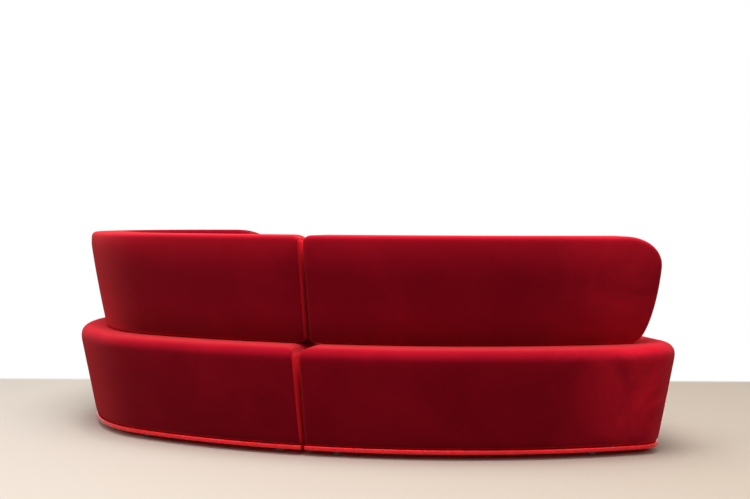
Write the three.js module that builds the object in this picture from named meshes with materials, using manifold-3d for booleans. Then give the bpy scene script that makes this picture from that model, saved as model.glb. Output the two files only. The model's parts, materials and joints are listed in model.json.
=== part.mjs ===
// A curved sofa in two upholstered modules, in millimetres, +Z up, seen from its rear along +Y.
// The left module ends in a half round, and its back wraps that end. The right module is cut off square.
// Both backs stand on a base that flares outwards, above a thin lacquered board on low glides.
// The plan is drawn around the centre that all its long curves share, and moved over its middle last.

import * as THREE from 'three';
import Module from 'manifold-3d';

const wasm = await Module();
wasm.setup();

// Plan, at the edge of the base boards, in mm and degrees; an angle is 0 straight to the rear
const outerRadius = 2245;
const baseDepth = 915;
const roundEndAngle = -28.3;
const rightEndAngle = 18;
const endCornerRadius = 90;
const jointAngle = -12.6;
const jointTurnAngle = -7;
const moduleGap = 6;

// Base heights and upholstery
const glideHeight = 20;
const boardThickness = 14;
const boardProud = 3;
const seatRimHeight = 354;
const seatCrown = 24;
const wallFlare = 54;
const rimRadius = 36;
const jointCornerRadius = 9;
const jointWallInset = 4;
const jointWallLean = 3;
const coverThickness = 3;
const wallPadThickness = 12;
const wallPanelThickness = 6;
const tightRadius = 1;

// Base carcass
const seatFoamDepth = 90;
const deckThickness = 18;
const deckRailWidth = 180;
const ribThickness = 18;
const ribHoleInset = 70;
const ribClearance = 1.5;
const strapWidth = 60;
const strapThickness = 2;
const strapGrip = 55;

// Backs: the outer face is placed by its distance from the edge of the base board
const backHeight = 700;
const backFootOffset = -39;
const backTopOffset = 20;
const backFootThickness = 130;
const backTopThickness = 108;
const backEdgeRadius = 13;
const backJointRadius = 17;
const backJointInset = 4;
const innerBulge = 14;
const outerBulge = 3;
const rightBackEndAngle = 17;
const roundBackAngle = 172;
const endTopWidth = 135;
const endTopHeight = 99;
const endFootWidth = 75;

// Back cores and the brackets that carry them
const coreThickness = 18;
const coreTopInset = 60;
const coreEndInset = 130;
const coreFootInset = 9;
const coverMouthWidth = 44;
const bracketWidth = 50;
const bracketThickness = 5;
const bracketFootLength = 62;
const bracketRise = 150;
const boltRadius = 4;
const boltHeadRadius = 6.5;
const boltHeadHeight = 5;
const boltSocketRadius = 2.5;
const boltSocketDepth = 3;
const coreBoltRise = 110;
const boltEndLength = 4;

// Glides and the plate that links the modules
const glideRadius = 19;
const glideEdgeRadius = 2;
const glideTaper = 2;
const glideInset = 55;
const glideJointInset = 90;
const glideRearEndInset = 250;
const glideFrontEndInset = 120;
const screwRadius = 2;
const screwHeadRadius = 4.6;
const screwHeadHeight = 2.6;
const screwRecess = 5;
const screwTipInset = 3;
const plateLength = 240;
const plateWidth = 90;
const plateThickness = 4;
const plateHoleInset = 22;

// Working clearances
const seatGap = 0.3;
const overrun = 10;

// How finely curves are cut, and shares chosen by eye
const leftArcSteps = 5;
const rightArcSteps = 9;
const capSteps = 16;
const cornerSteps = 4;
const jointCornerSteps = 2;
const lineSteps = 2;
const roundSteps = 3;
const hiddenRoundSteps = 2;
const glideSteps = 14;
const boltSteps = 8;
const holeSteps = 8;
const spineInsetShare = 0.6;
const endFlareShare = 0.7;
const cornerFlareShare = 0.6;
const crownShares = [0, 0.4, 0.62, 0.82, 1];
const faceShares = [0, 0.45, 1];
const leftRibShares = [0.2, 0.8];
const rightRibShares = [0.33, 0.67];
const leftBracketShares = [0.12, 0.5, 0.93];
const rightBracketShares = [0.2, 0.92];
const leftStrapShares = [0.42, 0.8, 1.2];
const rightStrapShares = [0.31, 0.45, 0.59, 0.73];
const lengthStrapShares = [0.34, 0.5, 0.66];

const arcSteps = { left: leftArcSteps, right: rightArcSteps };
const ribShares = { left: leftRibShares, right: rightRibShares };
const bracketShares = { left: leftBracketShares, right: rightBracketShares };
const strapShares = { left: leftStrapShares, right: rightStrapShares };

const degree = Math.PI / 180;
const rightAngle = Math.PI / 2;

const velvet = new THREE.MeshStandardMaterial({ color: 0x8a0716, roughness: 0.85, metalness: 0 });
const foam = new THREE.MeshStandardMaterial({ color: 0xe7dfc6, roughness: 0.95, metalness: 0 });
const plywood = new THREE.MeshStandardMaterial({ color: 0xcaa470, roughness: 0.7, metalness: 0 });
const lacquer = new THREE.MeshStandardMaterial({ color: 0xc4051a, roughness: 0.18, metalness: 0 });
const webbing = new THREE.MeshStandardMaterial({ color: 0x2a2a2c, roughness: 0.9, metalness: 0 });
const blackSteel = new THREE.MeshStandardMaterial({ color: 0x1d1d1f, roughness: 0.45, metalness: 0.8 });
const zincSteel = new THREE.MeshStandardMaterial({ color: 0xb9bcc0, roughness: 0.35, metalness: 1 });
const nylon = new THREE.MeshStandardMaterial({ color: 0xb8b4ac, roughness: 0.5, metalness: 0 });

const sofa = new THREE.Group();

function addPiece(name, geometry, material) {
  const mesh = new THREE.Mesh(geometry, material.clone());
  mesh.name = name;
  sofa.add(mesh);
  return mesh;
}

function mix(a, b, share) {
  return a + (b - a) * share;
}

// Plan vectors: straight to the rear is -Y
function polar(radius, angle) {
  return new THREE.Vector2(radius * Math.sin(angle), -radius * Math.cos(angle));
}

function angleOf(vector) {
  return Math.atan2(vector.x, -vector.y);
}

function quarterTurn(vector, sense) {
  return new THREE.Vector2(-vector.y * sense, vector.x * sense);
}

// Meshes from rings: each ring has as many points, and a ring folded onto itself closes the skin
function geometryFromTriangles(points, triangles) {
  const position = new Float32Array(points.flatMap((point) => [point.x, point.y, point.z]));
  const geometry = new THREE.BufferGeometry();
  geometry.setAttribute('position', new THREE.BufferAttribute(position, 3));
  geometry.setIndex(triangles.flat());
  return geometry;
}

function signedVolume(points, triangles) {
  let total = 0;
  for (const [a, b, c] of triangles) {
    total += points[a].dot(new THREE.Vector3().crossVectors(points[b], points[c]));
  }
  return total;
}

function solidFromRings(rings, closed = false) {
  const points = [];
  const places = new Map();
  const triangles = [];
  const indexOf = (point) => {
    const key = [point.x, point.y, point.z].map((value) => Math.fround(value).toFixed(3)).join();
    if (!places.has(key)) {
      places.set(key, points.length);
      points.push(point);
    }
    return places.get(key);
  };
  const addTriangle = (a, b, c) => {
    if (a !== b && b !== c && c !== a) triangles.push([a, b, c]);
  };
  const loops = rings.map((ring) => ring.map(indexOf));
  const bridges = closed ? loops.length : loops.length - 1;
  for (let step = 0; step < bridges; step += 1) {
    const low = loops[step];
    const high = loops[(step + 1) % loops.length];
    for (let here = 0; here < low.length; here += 1) {
      const next = (here + 1) % low.length;
      addTriangle(low[here], low[next], high[next]);
      addTriangle(low[here], high[next], high[here]);
    }
  }
  const outward = signedVolume(points, triangles) > 0;
  const facing = outward ? triangles : triangles.map(([a, b, c]) => [a, c, b]);
  return geometryFromTriangles(points, facing);
}

// Booleans
function toManifold(geometry) {
  const { index } = geometry;
  const { position } = geometry.attributes;
  const points = [];
  const places = new Map();
  const corners = [];
  const count = index ? index.count : position.count;
  for (let corner = 0; corner < count; corner += 1) {
    const at = index ? index.getX(corner) : corner;
    const point = [position.getX(at), position.getY(at), position.getZ(at)];
    const key = point.map((value) => Math.fround(value).toFixed(3)).join();
    if (!places.has(key)) {
      places.set(key, points.length);
      points.push(point);
    }
    corners.push(places.get(key));
  }
  const kept = [];
  for (let first = 0; first < corners.length; first += 3) {
    const [a, b, c] = corners.slice(first, first + 3);
    if (a !== b && b !== c && c !== a) kept.push(a, b, c);
  }
  return new wasm.Manifold(new wasm.Mesh({
    numProp: 3,
    vertProperties: new Float32Array(points.flat()),
    triVerts: new Uint32Array(kept),
  }));
}

function fromManifold(solid) {
  const mesh = solid.getMesh();
  const geometry = new THREE.BufferGeometry();
  geometry.setAttribute('position', new THREE.BufferAttribute(mesh.vertProperties, 3));
  geometry.setIndex(new THREE.BufferAttribute(mesh.triVerts, 1));
  return geometry;
}

function cut(geometry, cutters) {
  let solid = toManifold(geometry);
  for (const cutter of cutters) solid = solid.subtract(toManifold(cutter));
  return fromManifold(solid);
}

function join(geometries) {
  let solid = toManifold(geometries[0]);
  for (const geometry of geometries.slice(1)) solid = solid.add(toManifold(geometry));
  return fromManifold(solid);
}

// Plan of a module: the joint line, the two long arcs and the end
const spineRadius = outerRadius - baseDepth / 2;
const jointAlong = polar(1, (jointAngle + jointTurnAngle) * degree);
const jointPoint = polar(outerRadius, jointAngle * degree);
const endAlong = polar(1, rightEndAngle * degree);
const capCentre = polar(spineRadius, roundEndAngle * degree);

function jointLine(module, inset) {
  const into = quarterTurn(jointAlong, module === 'right' ? 1 : -1);
  return { along: jointAlong, into, offset: into.dot(jointPoint) + moduleGap / 2 + inset };
}

function endLine(grow) {
  return { along: endAlong, into: quarterTurn(endAlong, -1), offset: -grow };
}

function crossing(line, radius) {
  const reach = Math.sqrt(radius ** 2 - line.offset ** 2);
  return line.into.clone().multiplyScalar(line.offset).addScaledVector(line.along, reach);
}

// Points from the line round to the circle; side is 1 where the circle bounds the outside, -1 the inside
function cornerPoints(line, radius, cornerRadius, side, steps) {
  const middle = crossing({ ...line, offset: line.offset + cornerRadius }, radius - side * cornerRadius);
  const from = angleOf(line.into.clone().negate());
  let to = angleOf(middle.clone().multiplyScalar(side));
  if (to - from > Math.PI) to -= 2 * Math.PI;
  if (from - to > Math.PI) to += 2 * Math.PI;
  return Array.from({ length: steps + 1 }, (_, step) => (
    middle.clone().add(polar(cornerRadius, mix(from, to, step / steps)))
  ));
}

function spineAngles(module) {
  const inset = baseDepth / 2 * spineInsetShare / spineRadius;
  const atJoint = angleOf(crossing(jointLine(module, 0), spineRadius));
  if (module === 'right') return [atJoint + inset, rightEndAngle * degree - inset];
  return [atJoint - inset, roundEndAngle * degree];
}

// The outline of one module, pushed outwards at its free walls by flare and inwards all round by inset;
// its wall at the joint stands back by jointInset more
function planOutline(module, flare, inset, jointInset = 0) {
  const grow = flare - inset;
  const outer = outerRadius + grow;
  const inner = outerRadius - baseDepth - grow;
  const jointRadius = Math.max(jointCornerRadius - inset, tightRadius);
  const line = jointLine(module, inset + jointInset);
  const outerJoint = cornerPoints(line, outer, jointRadius, 1, jointCornerSteps);
  const innerJoint = cornerPoints(line, inner, jointRadius, -1, jointCornerSteps).reverse();
  const [spineFrom, spineTo] = spineAngles(module);
  const outline = [];
  const put = (point, share) => {
    outline.push({ point, spine: polar(spineRadius, mix(spineFrom, spineTo, share)) });
  };
  const putArc = (radius, from, to, backwards) => {
    const steps = arcSteps[module];
    for (let step = 1; step < steps; step += 1) {
      const share = backwards ? 1 - step / steps : step / steps;
      put(polar(radius, mix(from, to, share)), share);
    }
  };
  outerJoint.forEach((point) => put(point, 0));
  const outerFrom = angleOf(outerJoint.at(-1));
  const innerFrom = angleOf(innerJoint[0]);
  if (module === 'right') {
    const endWall = endLine(endFlareShare * flare - inset);
    const cornerRadius = Math.max(endCornerRadius + cornerFlareShare * flare - inset, tightRadius);
    const outerEnd = cornerPoints(endWall, outer, cornerRadius, 1, cornerSteps).reverse();
    const innerEnd = cornerPoints(endWall, inner, cornerRadius, -1, cornerSteps);
    putArc(outer, outerFrom, angleOf(outerEnd[0]), false);
    outerEnd.forEach((point) => put(point, 1));
    for (let step = 1; step < lineSteps; step += 1) {
      put(outerEnd.at(-1).clone().lerp(innerEnd[0], step / lineSteps), 1);
    }
    innerEnd.forEach((point) => put(point, 1));
    putArc(inner, innerFrom, angleOf(innerEnd.at(-1)), true);
  } else {
    putArc(outer, outerFrom, roundEndAngle * degree, false);
    for (let step = 0; step <= capSteps; step += 1) {
      const angle = roundEndAngle * degree - Math.PI * step / capSteps;
      put(capCentre.clone().add(polar(baseDepth / 2 + grow, angle)), 1);
    }
    putArc(inner, innerFrom, roundEndAngle * degree, true);
  }
  innerJoint.forEach((point) => put(point, 0));
  for (let step = 1; step < lineSteps; step += 1) {
    put(innerJoint.at(-1).clone().lerp(outerJoint[0], step / lineSteps), 0);
  }
  return outline;
}

function ringAt(outline, height, share = 0) {
  return outline.map(({ point, spine }) => {
    const place = point.clone().lerp(spine, share);
    return new THREE.Vector3(place.x, place.y, height);
  });
}

// Base upholstery
const wallFoot = glideHeight + boardThickness + seatGap;
const rimSpring = seatRimHeight - rimRadius;
const smoothStep = (share) => share * share * (3 - 2 * share);

function wallRise(height) {
  return (height - wallFoot) / (rimSpring - wallFoot);
}

function flareAt(height) {
  return mix(-boardProud, wallFlare - boardProud, wallRise(height));
}

function wallOutline(module, height, inset) {
  const jointInset = mix(jointWallInset, jointWallInset + jointWallLean, wallRise(height));
  return planOutline(module, flareAt(height), inset, jointInset);
}

function crownAt(share) {
  return seatCrown * smoothStep(Math.max((share - crownShares[1]) / (1 - crownShares[1]), 0));
}

// Rings over the rim and the crowned top, from the spring of the rim to the fold on the spine
function seatTopRings(module, inset, steps) {
  const rings = [];
  for (let step = 0; step <= steps; step += 1) {
    const turn = rightAngle * step / steps;
    const round = rimRadius - inset;
    const outline = wallOutline(module, rimSpring, rimRadius - round * Math.cos(turn));
    rings.push(ringAt(outline, rimSpring + round * Math.sin(turn)));
  }
  const inside = wallOutline(module, rimSpring, rimRadius);
  for (const share of crownShares.slice(1)) {
    rings.push(ringAt(inside, seatRimHeight - inset + crownAt(share), share));
  }
  return rings;
}

function wallRing(module, height, inset) {
  return ringAt(wallOutline(module, height, inset), height);
}

function baseCover(module) {
  const outside = [wallRing(module, wallFoot, 0), ...seatTopRings(module, 0, roundSteps)];
  const lining = seatTopRings(module, coverThickness, hiddenRoundSteps);
  const inside = [wallRing(module, wallFoot, coverThickness), ...lining];
  return solidFromRings([...outside.reverse(), ...inside]);
}

function wallSleeve(module, bottom, top, outerInset, thickness) {
  const innerInset = outerInset + thickness;
  return solidFromRings([
    wallRing(module, bottom, outerInset),
    wallRing(module, top, outerInset),
    wallRing(module, top, innerInset),
    wallRing(module, bottom, innerInset),
  ], true);
}

const foamInset = coverThickness + seatGap;
const panelInset = foamInset + wallPadThickness + seatGap;
const ribInset = panelInset + wallPanelThickness + ribClearance;
const deckHeight = seatRimHeight - seatFoamDepth;
const deckBottom = deckHeight - deckThickness;

function seatFoam(module) {
  const bottom = deckHeight + strapThickness + 2 * seatGap;
  const foot = wallOutline(module, bottom, foamInset);
  const top = seatTopRings(module, foamInset, hiddenRoundSteps);
  return solidFromRings([ringAt(foot, bottom, 1), ringAt(foot, bottom), ...top]);
}

// Flat boards
function baseBoard(module) {
  const outline = planOutline(module, 0, 0);
  const top = glideHeight + boardThickness;
  return solidFromRings([
    ringAt(outline, glideHeight, 1), ringAt(outline, glideHeight),
    ringAt(outline, top), ringAt(outline, top, 1),
  ]);
}

function deckFrame(module) {
  const edge = wallOutline(module, deckBottom, panelInset);
  const mouth = wallOutline(module, deckBottom, panelInset + deckRailWidth);
  return solidFromRings([
    ringAt(edge, deckBottom), ringAt(edge, deckHeight), ringAt(mouth, deckHeight), ringAt(mouth, deckBottom),
  ], true);
}

function slab(shape, bottom, thickness) {
  const options = { depth: thickness, bevelEnabled: false, curveSegments: holeSteps };
  return new THREE.ExtrudeGeometry(shape, options).translate(0, 0, bottom);
}

// The angle of a place along the module, from its joint to its end, on the spine
function alongAngle(module, share) {
  const from = angleOf(crossing(jointLine(module, 0), spineRadius));
  const to = (module === 'right' ? rightEndAngle : roundEndAngle) * degree;
  return mix(from, to, share);
}

function acrossStrap(module, share) {
  const angle = alongAngle(module, share);
  const middle = polar(spineRadius, angle);
  const along = polar(1, angle);
  const side = quarterTurn(along, 1).multiplyScalar(strapWidth / 2);
  const reach = baseDepth / 2 - panelInset - deckRailWidth + flareAt(deckBottom) + strapGrip;
  const near = middle.clone().addScaledVector(along, reach);
  const far = middle.clone().addScaledVector(along, -reach);
  return new THREE.Shape([
    near.clone().sub(side), near.clone().add(side), far.clone().add(side), far.clone().sub(side),
  ]);
}

function lengthStrap(module, share) {
  const radius = mix(outerRadius - baseDepth, outerRadius, share);
  const grip = deckRailWidth - strapGrip;
  const start = angleOf(crossing(jointLine(module, jointWallInset + panelInset + grip), radius));
  const ends = {
    right: rightEndAngle * degree - (panelInset + grip) / radius,
    left: roundEndAngle * degree - (baseDepth / 2 - panelInset - grip) * capWidthShare(share) / radius,
  };
  const steps = arcSteps[module];
  const side = (offset) => Array.from({ length: steps + 1 }, (_, step) => (
    polar(radius + offset, mix(start, ends[module], step / steps))
  ));
  return new THREE.Shape([...side(strapWidth / 2), ...side(-strapWidth / 2).reverse()]);
}

// How much of the round end's length is left at a share of the depth
function capWidthShare(share) {
  const across = 2 * share - 1;
  return Math.sqrt(1 - across ** 2);
}

function seatWebbing(module) {
  const bottom = deckHeight + seatGap;
  const across = strapShares[module].map((share) => acrossStrap(module, share));
  const along = lengthStrapShares.map((share) => lengthStrap(module, share));
  return join([...across, ...along].map((shape) => slab(shape, bottom, strapThickness)));
}

// A rib stands between the long walls and follows their flare; an oval hole lightens it
function seatRib(module, share) {
  const bottom = wallFoot;
  const top = deckBottom - seatGap;
  const angle = alongAngle(module, share);
  const reachAt = (height) => baseDepth / 2 + flareAt(height) - ribInset;
  const profile = new THREE.Shape([
    new THREE.Vector2(-reachAt(bottom), bottom), new THREE.Vector2(reachAt(bottom), bottom),
    new THREE.Vector2(reachAt(top), top), new THREE.Vector2(-reachAt(top), top),
  ]);
  const hole = new THREE.Path();
  const middle = (bottom + top) / 2;
  const holeReach = reachAt(bottom) - ribHoleInset;
  const holeRise = middle - bottom - ribHoleInset / 2;
  hole.absellipse(0, middle, holeReach, holeRise, 0, 2 * Math.PI);
  profile.holes.push(hole);
  const rib = slab(profile, -ribThickness / 2, ribThickness);
  const along = polar(1, angle);
  const frame = new THREE.Matrix4().makeBasis(
    new THREE.Vector3(along.x, along.y, 0),
    new THREE.Vector3(0, 0, 1),
    new THREE.Vector3(along.y, -along.x, 0),
  );
  const middlePoint = polar(spineRadius, angle);
  return rib.applyMatrix4(frame).translate(middlePoint.x, middlePoint.y, 0);
}

// Backs: drawn flat, along the curve (s) and up (z), then laid round the plan at their depth
const backFoot = seatRimHeight + seatGap;
const backReferenceOffset = (backFootOffset + backTopOffset - backFootThickness) / 2;
const backRadius = outerRadius + backReferenceOffset;
const capBackRadius = baseDepth / 2 + backReferenceOffset;
const backJointLine = (module) => jointLine(module, backJointInset);
const backJointAngle = (module) => angleOf(crossing(backJointLine(module), backRadius));
const roundArcLength = (backJointAngle('left') - roundEndAngle * degree) * backRadius;
const backLengths = {
  left: roundArcLength + roundBackAngle * degree * capBackRadius,
  right: (rightBackEndAngle * degree - backJointAngle('right')) * backRadius,
};

function backRise(height) {
  return (height - backFoot) / (backHeight - backFoot);
}

function backThickness(height) {
  return mix(backFootThickness, backTopThickness, backRise(height));
}

function backMiddleOffset(height) {
  return mix(backFootOffset, backTopOffset, backRise(height)) - backThickness(height) / 2;
}

// The plan place at a length along the back and an offset from the base board's edge
function backPlace(module, length, offset) {
  const joint = angleOf(crossing(backJointLine(module), outerRadius + offset));
  if (module === 'right') {
    return polar(outerRadius + offset, mix(joint, rightBackEndAngle * degree, length / backLengths.right));
  }
  if (length <= roundArcLength) {
    return polar(outerRadius + offset, mix(joint, roundEndAngle * degree, length / roundArcLength));
  }
  const turn = (length - roundArcLength) / capBackRadius;
  return capCentre.clone().add(polar(baseDepth / 2 + offset, roundEndAngle * degree - turn));
}

function backPoint(module, length, height, depth) {
  const place = backPlace(module, length, backMiddleOffset(height) + depth);
  return new THREE.Vector3(place.x, place.y, height);
}

// Lengths of the stations between two ends: closer together round the end than on the long arc
function stationLengths(module, from, to) {
  const spread = (start, end, steps) => (
    Array.from({ length: steps + 1 }, (_, step) => mix(start, end, step / steps))
  );
  if (module === 'right') return spread(from, to, arcSteps.right);
  return [...spread(from, roundArcLength, arcSteps.left), ...spread(roundArcLength, to, capSteps).slice(1)];
}

function quarterEllipse(middle, across, up, from, steps) {
  return Array.from({ length: steps + 1 }, (_, step) => {
    const turn = from + rightAngle * step / steps;
    return [middle[0] + across * Math.cos(turn), middle[1] + up * Math.sin(turn)];
  });
}

// The flat outline of a back, drawn in all round by inset, with the spine that its faces fold onto
function backOutline(module, inset) {
  const length = backLengths[module];
  const foot = backFoot + inset;
  const top = backHeight - inset;
  const joint = Math.max(backJointRadius - inset, tightRadius);
  const endFootHeight = backHeight - backFoot - endTopHeight - inset;
  const endTop = endTopHeight - inset;
  const spineHeight = (backFoot + backHeight) / 2;
  const spineInset = (backHeight - backFoot) / 2 * spineInsetShare;
  const footStations = stationLengths(module, inset + joint, length - endFootWidth);
  const topStations = stationLengths(module, inset + joint, length - endTopWidth);
  const spineStations = stationLengths(module, spineInset, length - spineInset);
  const outline = [];
  const put = (place, spine) => outline.push({ length: place[0], height: place[1], spine, spineHeight });
  footStations.forEach((station, index) => put([station, foot], spineStations[index]));
  const footMiddle = [length - endFootWidth, foot + endFootHeight];
  const topMiddle = [length - endTopWidth, top - endTop];
  const endFoot = quarterEllipse(footMiddle, endFootWidth - inset, endFootHeight, -rightAngle, cornerSteps);
  const endTopArc = quarterEllipse(topMiddle, endTopWidth - inset, endTop, 0, cornerSteps);
  endFoot.slice(1).forEach((place) => put(place, spineStations.at(-1)));
  endTopArc.slice(1, -1).forEach((place) => put(place, spineStations.at(-1)));
  topStations.map((station, index) => [station, spineStations[index]]).reverse()
    .forEach(([station, spine]) => put([station, top], spine));
  const jointCorner = (height, from) => (
    quarterEllipse([inset + joint, height], joint, joint, from, jointCornerSteps)
  );
  jointCorner(top - joint, rightAngle).slice(1).forEach((place) => put(place, spineStations[0]));
  jointCorner(foot + joint, 2 * rightAngle).slice(0, -1).forEach((place) => put(place, spineStations[0]));
  return outline;
}

// A back body whose skin lies inset within the outside of its cover
function backBody(module, inset, steps) {
  const rings = [];
  const round = backEdgeRadius - inset;
  const faceRing = (side, share, bulge) => backOutline(module, backEdgeRadius).map((place) => {
    const length = mix(place.length, place.spine, share);
    const height = mix(place.height, place.spineHeight, share);
    const swell = bulge * (1 - (1 - share) ** 2);
    return backPoint(module, length, height, side * (backThickness(height) / 2 - inset + swell));
  });
  const edgeRing = (side, turn) => {
    const ringInset = backEdgeRadius - round * Math.cos(turn);
    return backOutline(module, ringInset).map((place) => {
      const depth = backThickness(place.height) / 2 - backEdgeRadius + round * Math.sin(turn);
      return backPoint(module, place.length, place.height, side * depth);
    });
  };
  [...faceShares].reverse().forEach((share) => rings.push(faceRing(1, share, outerBulge)));
  for (let step = steps - 1; step >= 0; step -= 1) rings.push(edgeRing(1, rightAngle * step / steps));
  for (let step = 0; step < steps; step += 1) rings.push(edgeRing(-1, rightAngle * step / steps));
  faceShares.forEach((share) => rings.push(faceRing(-1, share, innerBulge)));
  return solidFromRings(rings);
}

// A band along the back: a rectangle of depth and height carried past the stations
function backBand(module, from, to, bottom, top, outerDepth, innerDepth) {
  const stations = stationLengths(module, from, to);
  const rings = stations.map((station) => [
    backPoint(module, station, bottom, outerDepth), backPoint(module, station, top, outerDepth),
    backPoint(module, station, top, innerDepth), backPoint(module, station, bottom, innerDepth),
  ]);
  const closeUp = (ring) => {
    const centre = ring.reduce((sum, point) => sum.add(point), new THREE.Vector3());
    return ring.map(() => centre.clone().divideScalar(ring.length));
  };
  return solidFromRings([closeUp(rings[0]), ...rings, closeUp(rings.at(-1))]);
}

const coreBottom = backFoot + coreFootInset;
const coreTop = backHeight - coreTopInset;

function backCore(module) {
  return backBand(
    module, coreEndInset, backLengths[module] - coreEndInset,
    coreBottom, coreTop, coreThickness / 2, -coreThickness / 2,
  );
}

function coreSlot(module) {
  return backBand(
    module, coreEndInset - seatGap, backLengths[module] - coreEndInset + seatGap,
    backFoot - overrun, coreTop + seatGap,
    coreThickness / 2 + seatGap, -coreThickness / 2 - seatGap,
  );
}

function coverMouth(module) {
  return backBand(
    module, coreEndInset - seatGap, backLengths[module] - coreEndInset + seatGap,
    backFoot - overrun, coreBottom,
    coverMouthWidth / 2, -coverMouthWidth / 2,
  );
}

function backCover(module) {
  const lining = backBody(module, coverThickness, hiddenRoundSteps);
  return cut(backBody(module, 0, roundSteps), [lining, coverMouth(module)]);
}

// Brackets: each upright lies flat on one facet of its core, and its foot stands on the deck
function bracketFrame(module, share) {
  const stations = stationLengths(module, coreEndInset, backLengths[module] - coreEndInset);
  const index = Math.floor(share * (stations.length - 1));
  const facetMiddle = (height) => {
    const ends = [stations[index], stations[index + 1]];
    const [here, next] = ends.map((station) => backPoint(module, station, height, -coreThickness / 2));
    return { place: here.clone().add(next).divideScalar(2), along: next.sub(here).normalize() };
  };
  const { place, along } = facetMiddle(coreBottom);
  const top = facetMiddle(coreTop).place;
  const outward = new THREE.Vector3().crossVectors(along, new THREE.Vector3(0, 0, 1));
  if (module === 'left') outward.negate();
  const lean = top.clone().sub(place).dot(outward) / (top.z - place.z);
  return { place, outward, lean };
}

// The depth, inside the core's inner face, of the upright's face at a height
function uprightFace(frame, height) {
  return frame.lean * (height - frame.place.z) - seatGap;
}

function bracketSolid(frame, clearance) {
  const { place, outward } = frame;
  const footBottom = deckHeight + seatGap - clearance;
  const footTop = deckHeight + seatGap + bracketThickness + clearance;
  const top = place.z + bracketRise + clearance;
  const front = (height) => uprightFace(frame, height) + clearance;
  const rear = (height) => uprightFace(frame, height) - bracketThickness - clearance;
  const toe = front(footTop) + bracketFootLength;
  const profile = new THREE.Shape([
    new THREE.Vector2(rear(footBottom), footBottom), new THREE.Vector2(toe, footBottom),
    new THREE.Vector2(toe, footTop), new THREE.Vector2(front(footTop), footTop),
    new THREE.Vector2(front(top), top), new THREE.Vector2(rear(top), top),
  ]);
  const width = bracketWidth + 2 * clearance;
  const solid = new THREE.ExtrudeGeometry(profile, { depth: width, bevelEnabled: false });
  solid.translate(0, 0, -width / 2);
  const up = new THREE.Vector3(0, 0, 1);
  const across = new THREE.Vector3().crossVectors(outward, up);
  const upright = new THREE.Matrix4().makeBasis(outward, up, across);
  return solid.applyMatrix4(upright).translate(place.x, place.y, 0);
}

// A round-headed socket bolt along +Y, its head above 0; a clearance makes its plain pocket
function boltSolid(shankLength, clearance) {
  const top = boltHeadHeight + clearance;
  const head = boltHeadRadius + clearance;
  const shank = boltRadius + clearance;
  const socket = [[0, boltHeadHeight - boltSocketDepth], [boltSocketRadius, boltHeadHeight - boltSocketDepth],
    [boltSocketRadius, boltHeadHeight]];
  const crown = clearance > 0 ? [[0, top]] : socket;
  const profile = [...crown, [head, top], [head, -clearance], [shank, -clearance],
    [shank, -shankLength - clearance], [0, -shankLength - clearance]];
  const points = profile.map(([across, along]) => new THREE.Vector2(across, along)).reverse();
  return new THREE.LatheGeometry(points, boltSteps);
}

function turnTo(geometry, direction, place) {
  const turn = new THREE.Quaternion().setFromUnitVectors(new THREE.Vector3(0, 1, 0), direction);
  return geometry.applyQuaternion(turn).translate(place.x, place.y, place.z);
}

function deckBolt(frame, clearance) {
  const footTop = deckHeight + seatGap + bracketThickness;
  const reach = uprightFace(frame, footTop) + bracketFootLength / 2;
  const place = frame.place.clone().addScaledVector(frame.outward, reach);
  place.z = footTop + seatGap;
  const shank = footTop + seatGap - deckBottom + boltEndLength;
  return turnTo(boltSolid(shank, clearance), new THREE.Vector3(0, 0, 1), place);
}

function coreBolt(frame, clearance) {
  const normal = frame.outward.clone().setZ(-frame.lean).normalize();
  const height = frame.place.z + coreBoltRise;
  const place = frame.place.clone().addScaledVector(frame.outward, frame.lean * coreBoltRise);
  place.z = height;
  const head = bracketThickness + 3 * seatGap;
  place.addScaledVector(normal, -head);
  return turnTo(boltSolid(head + coreThickness + boltEndLength, clearance), normal.negate(), place);
}

// Glides and what is screwed up into the boards
function lathe(profile, place, steps) {
  const points = profile.map(([across, up]) => new THREE.Vector2(across, up));
  const solid = new THREE.LatheGeometry(points, steps).rotateX(rightAngle);
  return solid.translate(place.x, place.y, 0);
}

function glidePlaces(module) {
  const rows = [
    [outerRadius - glideInset, glideRearEndInset],
    [outerRadius - baseDepth + glideInset, glideFrontEndInset],
  ];
  const places = [];
  for (const [radius, endInset] of rows) {
    const joint = angleOf(crossing(jointLine(module, glideJointInset), radius));
    const end = module === 'right' ? rightEndAngle * degree - endInset / radius : roundEndAngle * degree;
    places.push(polar(radius, joint), polar(radius, end));
  }
  if (module === 'left') {
    const reach = polar(baseDepth / 2 - glideInset, roundEndAngle * degree - rightAngle);
    places.push(capCentre.clone().add(reach));
  }
  return places;
}

function glide(place) {
  const top = glideHeight - seatGap;
  const bore = screwRadius + seatGap;
  const recess = screwHeadRadius + seatGap;
  return lathe([
    [bore, screwRecess + screwHeadHeight], [recess, screwRecess], [recess, 0],
    [glideRadius - glideTaper - glideEdgeRadius, 0], [glideRadius - glideTaper, glideEdgeRadius],
    [glideRadius, top], [bore, top], [bore, screwRecess + screwHeadHeight],
  ], place, glideSteps);
}

const screwTip = glideHeight + boardThickness - screwTipInset;

function glideScrew(place) {
  const underHead = screwRecess + screwHeadHeight - seatGap;
  return lathe([
    [0, screwRecess - seatGap], [screwHeadRadius, screwRecess - seatGap], [screwRadius, underHead],
    [screwRadius, screwTip - screwRadius], [0, screwTip],
  ], place, holeSteps);
}

function boardHole(place, radius) {
  return lathe([
    [0, glideHeight - overrun], [radius, glideHeight - overrun],
    [radius, screwTip + seatGap], [0, screwTip + seatGap],
  ], place, holeSteps);
}

const plateInto = jointLine('right', 0).into;
const plateCentre = crossing(jointLine('right', -moduleGap / 2), spineRadius);
const plateTop = glideHeight - seatGap;
const linkPlaces = {
  left: plateCentre.clone().addScaledVector(plateInto, -(plateLength / 2 - plateHoleInset)),
  right: plateCentre.clone().addScaledVector(plateInto, plateLength / 2 - plateHoleInset),
};

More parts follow.
